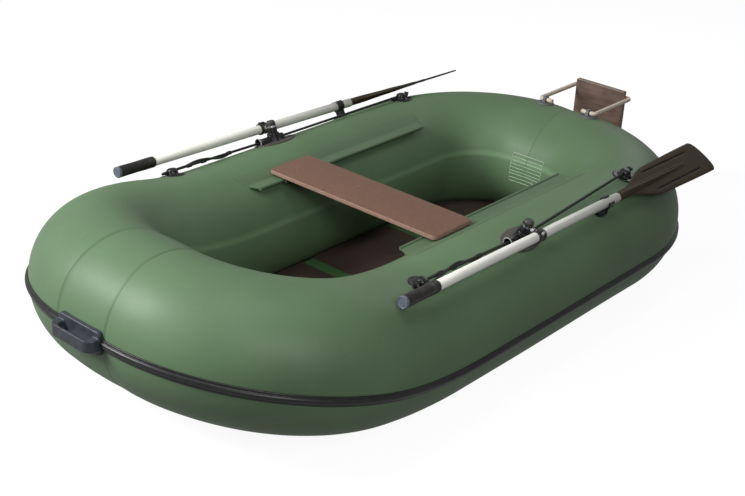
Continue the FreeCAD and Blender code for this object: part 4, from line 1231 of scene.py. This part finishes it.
# Bow handle. One moulding in slate-coloured rubber: a plate glued over the rub rail at the nose, and
# a band that stands out from it to make a hand hold.
handle_half_length = 0.075
handle_half = 0.0155
handle_plate_half = 0.031
handle_reach = 0.042
handle_bar = 0.007
handle_end = 0.023
handle_root = -0.010
handle_cover = 0.0105
handle_aside = 0.024
nose_point, nose_heading, nose_out, nose_up = tube_line(bow_middle)
tip_down = math.radians(rail_angle - 90)
handle_out = nose_out * math.cos(tip_down) - nose_up * math.sin(tip_down)
handle_up = nose_up * math.cos(tip_down) + nose_out * math.sin(tip_down)
handle_stand = placed(handle_out, -nose_heading, handle_up,
                      nose_point + handle_out * tube_radius + nose_heading * handle_aside)


def hand_hold(half_length, reach, bend, count=40):
    """Half of a U in the plan, from its root to the middle, evenly spaced."""
    straight = reach - bend - handle_root
    arc = bend * quarter_turn
    total = straight + arc + half_length - bend
    for k in range(count + 1):
        run = total * k / count
        angle = within((run - straight) / arc) * quarter_turn
        yield (handle_root + min(run, straight) + bend * math.sin(angle),
               half_length - bend + bend * math.cos(angle) - max(0.0, run - straight - arc))


half_band = list(zip(hand_hold(handle_half_length, handle_reach, 0.025),
                     hand_hold(handle_half_length - handle_end, handle_reach - handle_bar, 0.018)))
band_section = ((0.0, -0.82), (0.0, 0.82), (0.04, 0.95), (0.14, 1.0), (0.86, 1.0), (0.96, 0.95),
                (1.0, 0.82), (1.0, -0.82), (0.96, -0.95), (0.86, -1.0), (0.14, -1.0), (0.04, -0.95))
band_rings = []
for side, pairs in ((1, half_band), (-1, half_band[-2::-1])):
    for outer, inner in pairs:
        ring = []
        for share, level in band_section:
            x, y = Vector(inner).lerp(Vector(outer), share)
            ring.append(handle_stand @ Vector((x, side * y, level * handle_half)))
        band_rings.append(ring)
plate_stand = handle_stand @ Matrix(((0, 0, 1, 0), (1, 0, 0, 0), (0, 1, 0, 0), (0, 0, 0, 1)))
base_plate = slab("base", (-handle_half_length, -handle_plate_half), (handle_half_length, handle_plate_half),
                  0.010, -0.016, handle_cover, 0.003, plate_stand)
handle = moulding("carry_handle", [skin("band", band_rings), base_plate], (), 0.0014, 5)
handle_rubber = moulded("slate_handle_rubber", (0.036, 0.041, 0.052), 0.36, 600.0, 0.00012, 30.0, 0.02)
fit_out(handle, handle_rubber, "black_rubber", "hull", "bow_handle")


# Transom. A plate of varnished plywood for a small motor, hung behind the stern, with a ribbed rubber
# pad for the motor's clamp.
stern_line = side_start - stern_bend
transom_gap = 0.036
transom_thickness = 0.018
transom_half = 0.093
transom_top = 0.407
transom_bottom = 0.062
plate_front = stern_line - tube_radius - transom_gap
plate_back = plate_front - transom_thickness
frame_radius = 0.007
upper_inset = 0.029
upper_front = stern_line - upper_inset
upper_height = tube_radius + math.sqrt(tube_radius ** 2 - upper_inset ** 2) + 0.013
lower_height = 0.098
lower_front = stern_line - math.sqrt(tube_radius ** 2 - (tube_radius - lower_height) ** 2) - 0.013
facing_aft = Matrix(((0, 0, -1, 0), (1, 0, 0, 0), (0, 1, 0, 0), (0, 0, 0, 1)))
plate = slab("motor_board", (-transom_half, transom_bottom), (transom_half, transom_top),
             (0.003, 0.003, 0.022, 0.022), -plate_front, -plate_back, 0.0015, facing_aft, 10)


def varnished_ply(name, light, dark):
    """Stained and varnished plywood with a wandering, mottled grain."""
    ply = Finish(name, Roughness=0.42, Coat_Weight=0.25, Coat_Roughness=0.25)
    grain = ply.mottle(60.0, 8.0, (1.0, 0.18, 1.0))
    ply.base(ply.ramp(grain, (0.35, dark), (0.65, light)))
    ply.lay("MULTIPLY", 0.85, ply.ramp(ply.mottle(18.0, 5.0), (0.35, (0.62, 0.60, 0.58)), (0.62, white)))
    ply.bump(grain, 0.25, 0.0004)
    return ply


transom_ply = varnished_ply("brown_varnished_ply", (0.205, 0.137, 0.106), (0.135, 0.088, 0.067))
transom_edge = ply_edge("transom_ply_edge", (0.40, 0.33, 0.26), (0.22, 0.16, 0.12), 0.0022, "X")
fit_out(plate, (transom_ply, transom_edge), "transom_ply", "hull", "transom_plate")
pad_half = 0.075
pad_height = 0.096
pad_top = upper_height - 0.021
rib_half = 0.069
rib_spacing = 0.009
pad_parts = [slab("pad", (-pad_half, pad_top - pad_height), (pad_half, pad_top), 0.006,
                  -plate_back, -plate_back + 0.0028, 0.0008, facing_aft, 6)]
for k in range(9):
    level = pad_top - 0.012 - rib_spacing * k
    pad_parts.append(slab("rib", (-rib_half, level - 0.0022), (rib_half, level + 0.0022), 0.002,
                          -plate_back + 0.0020, -plate_back + 0.0040, 0.0008, facing_aft, 4))
fit_out(joined("motor_clamp_pad", pad_parts, 50), black_rubber, "black_rubber", "hull", "transom_pad")


# Transom frames. Two bent tubes with cream paint pass behind the plate; their ends turn inboard
# into the rubber brackets, and are closed with plastic plugs.
frame_side = transom_half + frame_radius + 0.005
frame_end = 0.058
frame_back = plate_back - frame_radius


def bent(corners, radius, spacing):
    """A route of straight runs with rounded corners."""
    route = [corners[0]]
    for before, corner, after in zip(corners, corners[1:], corners[2:]):
        into = (corner - before).normalized()
        out = (after - corner).normalized()
        start = corner - into * radius
        route += stepped([route[-1], start], spacing)[1:]
        for k in range(1, 13):
            angle = quarter_turn * k / 12
            route.append(start + out * radius * (1 - math.cos(angle)) + into * radius * math.sin(angle))
    return route + stepped([route[-1], corners[-1]], spacing)[1:]


frame_paint = painted("cream_frame_paint", (0.66, 0.57, 0.46), 0.40, (0.80, 0.76, 0.70))
frame_places = (("upper", upper_front, upper_height), ("lower", lower_front, lower_height))
for place, front, level in frame_places:
    half_route = [(front, frame_end), (front, frame_side), (frame_back, frame_side)]
    corners = [Vector((x, y, level)) for x, y in half_route]
    corners += [on_side(corner, -1) for corner in reversed(corners)]
    bend = min(0.012, 0.45 * (front - frame_back), 0.8 * (frame_side - frame_end))
    tube = skin("tube", round_section(bent(corners, bend, 0.008), 32, lambda angle, run: frame_radius))
    plugs = [turned("plug", [(0.0066, -0.001), (0.0066, 0.0), (0.0058, 0.0012), (0.0030, 0.0017),
                             (0.0, 0.0018)], 32,
                    moved(front, way * frame_end, level) @ spun(way * quarter_turn, "X"))
             for way in (1, -1)]
    fit_out(joined("transom_tube_" + place, [tube] + plugs), frame_paint, "frame_paint", "hull",
            "transom_frame_" + place)


# Frame clips. Pressed steel saddles, bent over each tube and screwed to the back of the plate with
# two screws each.
saddle_inner = frame_radius + 0.0002
saddle_outer = frame_radius + 0.0027
saddle_half = 0.0175
saddle_half_width = 0.008
saddle_side = 0.048
screw_rise = 0.0145
saddle_outline = [(0.0, saddle_half), (0.0, saddle_inner)]
for angle in [math.radians(90 + 15 * k) for k in range(13)]:
    saddle_outline.append((-frame_radius + saddle_inner * math.cos(angle), saddle_inner * math.sin(angle)))
saddle_outline += [(0.0, -saddle_inner), (0.0, -saddle_half), (-0.0028, -saddle_half),
                   (-0.003, -0.0172), (-0.003, -0.0115)]
for angle in [math.radians(260 - 16 * k) for k in range(11)]:
    saddle_outline.append((-frame_radius + saddle_outer * math.cos(angle), saddle_outer * math.sin(angle)))
saddle_outline += [(-0.003, 0.0115), (-0.003, 0.0172), (-0.0028, saddle_half)]
saddles = []
for level in (upper_height, lower_height):
    for y in (-saddle_side, saddle_side):
        saddles.append(skin("saddle", [[Vector((plate_back + x, y + across, level + z))
                                        for x, z in saddle_outline]
                                       for across in (-saddle_half_width, saddle_half_width)]))
        for rise in (-screw_rise, screw_rise):
            saddles.append(turned("screw", [(0.0030, 0.0), (0.0032, 0.0004), (0.0026, 0.0014),
                                            (0.0012, 0.0019), (0.0, 0.0019)], 20,
                                  moved(plate_back - 0.003, y, level + rise) @ spun(-quarter_turn, "Y")))
fit_out(joined("frame_saddles", saddles, 35), steel, "clip_steel", "hull", "transom_frame_clips")


# Brackets. Grey rubber mouldings: a round foot glued to the stern tube, and an ear with a bore for
# the end of the bent tube.
bracket_y = 0.084
brackets = []
for place, front, level in frame_places:
    outward = Vector((front - stern_line, 0, level - tube_radius))
    lift = outward.length
    stand = moved(stern_line, bracket_y, tube_radius) @ spun(math.atan2(outward.x, outward.z), "Y")
    foot = turned("foot", [(0.029, -0.012), (0.030, -0.004), (0.030, 0.0025), (0.0285, 0.004),
                           (0.0, 0.004)], 64, stand, base=tube_radius)
    ear = turned("ear", [(0.012, -0.0055), (0.013, -0.0045), (0.013, 0.0045), (0.012, 0.0055)], 48,
                 stand @ moved(0, 0, lift) @ spun(quarter_turn, "X"))
    web = slab("web", (-0.013, -0.0055), (0.013, 0.0055), 0.001, tube_radius - 0.006, lift, 0.0005,
               stand, 3)
    bore = rod(Vector((front, bracket_y - 0.02, level)), Vector((front, bracket_y + 0.02, level)),
               frame_radius + 0.0003, 40)
    brackets.append(moulding("bracket", [foot, ear, web], [bore]))
grey_rubber = moulded("slate_grey_rubber", (0.120, 0.125, 0.130), 0.46, 700.0, 0.00012, 40.0, 0.02)
fit_out(with_twins("stern_brackets", *brackets), grey_rubber, "grey_rubber", "hull", "transom_brackets")


# Inflation valves. Two on the inside of the port tube, one for each chamber: a welded plastic flange
# and a screw cap with grip notches.
valve_stations = (0.150, 0.700)
valve_angle = -72.0
valves = []
for station in valve_stations:
    stand = standing(station, valve_angle)
    valves.append(turned("rim", [(0.026, -0.006), (0.028, -0.004), (0.028, 0.0015), (0.0272, 0.003),
                                 (0.0225, 0.003), (0.0220, 0.0022), (0.0200, 0.0022), (0.0195, 0.003),
                                 (0.010, 0.003)], 72, stand))
    valves.append(turned("cap", [(0.0160, 0.0030), (0.0170, 0.0034), (0.0170, 0.0085),
                                 (0.0160, 0.0098), (0.0090, 0.0100), (0.0082, 0.0090), (0.0, 0.0090)],
                         96, stand, lambda angle: 1 - 0.05 * max(0.0, math.cos(9 * angle)) ** 4))
valve_plastic = moulded("grey_valve_plastic", (0.085, 0.090, 0.090), 0.38, 500.0, 0.00008, 60.0)
fit_out(joined("air_valves", valves, 40), valve_plastic, "valve_plastic", "hull", "inflation_valves")


# Blank data panel. A frame of thin rules, printed in pale green on the inner wall of the stern tube
# across its middle seam, with nothing written in it.
panel_start = -0.060
panel_end = 0.080
column_rule = 0.036
rule_angles = (-67.0, -71.0, -74.5, -78.0, -81.5, -85.0, -88.0, -92.0, -96.0)
line_width = 0.0018
line_angle = 0.6
ink_height = 0.0016
ink_root = -0.001
ink_draw = 0.0030


def printed_bar(run_from, run_to, angle_from, angle_to):
    """A thin printed bar on the inner wall of the stern tube, measured from the stern's middle."""
    rings = []
    count = max(1, round((run_to - run_from) / 0.004))
    rows = max(1, round((angle_from - angle_to) / 1.5))
    angles = [angle_from + (angle_to - angle_from) * j / rows for j in range(rows + 1)]
    section = [(angle, ink_height) for angle in angles] + [(angle, ink_root) for angle in angles[::-1]]
    for k in range(count + 1):
        run = run_from + (run_to - run_from) * k / count
        ring = []
        for angle, lift in section:
            point, away = on_tube(stern_middle + abs(run), angle)
            lift += ripple(point, ripple_length, ripple_height) - ink_draw * seam_pull(run)
            point += away * lift
            ring.append(on_side(point, 1 if run >= 0 else -1))
        rings.append(ring)
    return skin("bar", rings)


bars = [printed_bar(run - line_width / 2, run + line_width / 2, top, rule_angles[-1])
        for run, top in ((panel_start, rule_angles[0]), (panel_end, rule_angles[0]), (column_rule, -88.0))]
bars += [printed_bar(panel_start, panel_end, angle, angle - line_angle) for angle in rule_angles]
pale_ink = moulded("pale_green_ink", (0.38, 0.50, 0.36), 0.5, 700.0, 0.00004, 60.0)
fit_out(joined("blank_data_panel", bars), pale_ink, "tube_fabric", "hull")


# Camera. It stands at the photograph's viewing angle, above the port bow, with the horizon slightly
# turned.
camera_azimuth = math.radians(130.073)
camera_elevation = math.radians(26.184)
camera_roll = math.radians(3.0)
camera_distance = 3.582
aim = Vector((side_start + 0.7648, 0.1583, 0.3053))
back = Vector((math.sin(camera_azimuth) * math.cos(camera_elevation),
               -math.cos(camera_azimuth) * math.cos(camera_elevation),
               math.sin(camera_elevation)))
right = (-back).cross(Vector((0, 0, 1))).normalized()
level_up = right.cross(-back)
camera_data = bpy.data.cameras.new("photo_camera")
camera_data.sensor_width = 36.0
camera_data.lens = 65.43
camera = bpy.data.objects.new("photo_camera", camera_data)
camera.matrix_world = placed(right * math.cos(camera_roll) + level_up * math.sin(camera_roll),
                             level_up * math.cos(camera_roll) - right * math.sin(camera_roll),
                             back, aim + back * camera_distance)
bpy.context.scene.collection.objects.link(camera)
bpy.context.scene.camera = camera


# Studio. Four soft boxes and a pale floor; floor and sky show white to the camera, weaker in
# reflections, and the floor keeps the boat's soft shadow.
floor_reach = 30
for name, place, target, width, height, power in (
    ("key_box", (3.2, -2.0, 2.7), (0.2, 0.0, 0.2), 1.6, 1.6, 210.0),
    ("fill_box", (2.0, 2.6, 2.3), (0.4, 0.3, 0.3), 1.2, 1.0, 42.0),
    ("top_box", (0.7, 0.3, 3.3), (0.5, 0.0, 0.3), 1.4, 1.2, 18.0),
    ("stern_box", (-3.4, -0.3, 1.9), (-0.4, 0.0, 0.3), 1.6, 1.2, 10.0),
):
    soft_box = bpy.data.lights.new(name, "AREA")
    soft_box.shape = "RECTANGLE"
    soft_box.size = width
    soft_box.size_y = height
    soft_box.energy = power
    lamp = bpy.data.objects.new(name, soft_box)
    lamp.location = place
    lamp.rotation_euler = (Vector(target) - Vector(place)).to_track_quat("-Z", "Y").to_euler()
    bpy.context.scene.collection.objects.link(lamp)


def shown_white(nodes, links, plain, bright, output):
    """Shows the bright shader to camera rays and by a third to glossy ones, the plain one to others."""
    ray = nodes.new("ShaderNodeLightPath")
    seen = nodes.new("ShaderNodeMath")
    seen.operation = "MULTIPLY_ADD"
    seen.inputs[1].default_value = 0.35
    links.new(ray.outputs["Is Glossy Ray"], seen.inputs[0])
    links.new(ray.outputs["Is Camera Ray"], seen.inputs[2])
    choice = nodes.new("ShaderNodeMixShader")
    links.new(seen.outputs["Value"], choice.inputs["Fac"])
    links.new(plain, choice.inputs[1])
    links.new(bright, choice.inputs[2])
    links.new(choice.outputs["Shader"], nodes[output].inputs["Surface"])


world = bpy.data.worlds.new("studio")
bpy.context.scene.world = world
world.use_nodes = True
sky_nodes = world.node_tree.nodes
skies = (sky_nodes["Background"], sky_nodes.new("ShaderNodeBackground"))
for sky, strength in zip(skies, (0.04, 1.0)):
    sky.inputs["Color"].default_value = (1.0, 1.0, 1.0, 1.0)
    sky.inputs["Strength"].default_value = strength
shown_white(sky_nodes, world.node_tree.links, skies[0].outputs["Background"],
            skies[1].outputs["Background"], "World Output")
floor_corners = [(x * floor_reach, y * floor_reach, -0.001) for x, y in ((-1, -1), (1, -1), (1, 1), (-1, 1))]
studio_floor = make_piece("studio_floor", floor_corners, [(0, 1, 2, 3)])
floor_paint = Finish("studio_white", Base_Color=(0.16, 0.16, 0.16, 1.0), Roughness=0.9,
                     Specular_IOR_Level=0.0)
glow = floor_paint.nodes.new("ShaderNodeEmission")
glow.inputs["Strength"].default_value = 0.93
lit = floor_paint.nodes.new("ShaderNodeAddShader")
floor_paint.links.new(floor_paint.shader.outputs["BSDF"], lit.inputs[0])
floor_paint.links.new(glow.outputs["Emission"], lit.inputs[1])
shown_white(floor_paint.nodes, floor_paint.links, floor_paint.shader.outputs["BSDF"],
            lit.outputs["Shader"], "Material Output")
studio_floor.data.materials.append(floor_paint.material)

bpy.context.scene.view_settings.view_transform = "Standard"
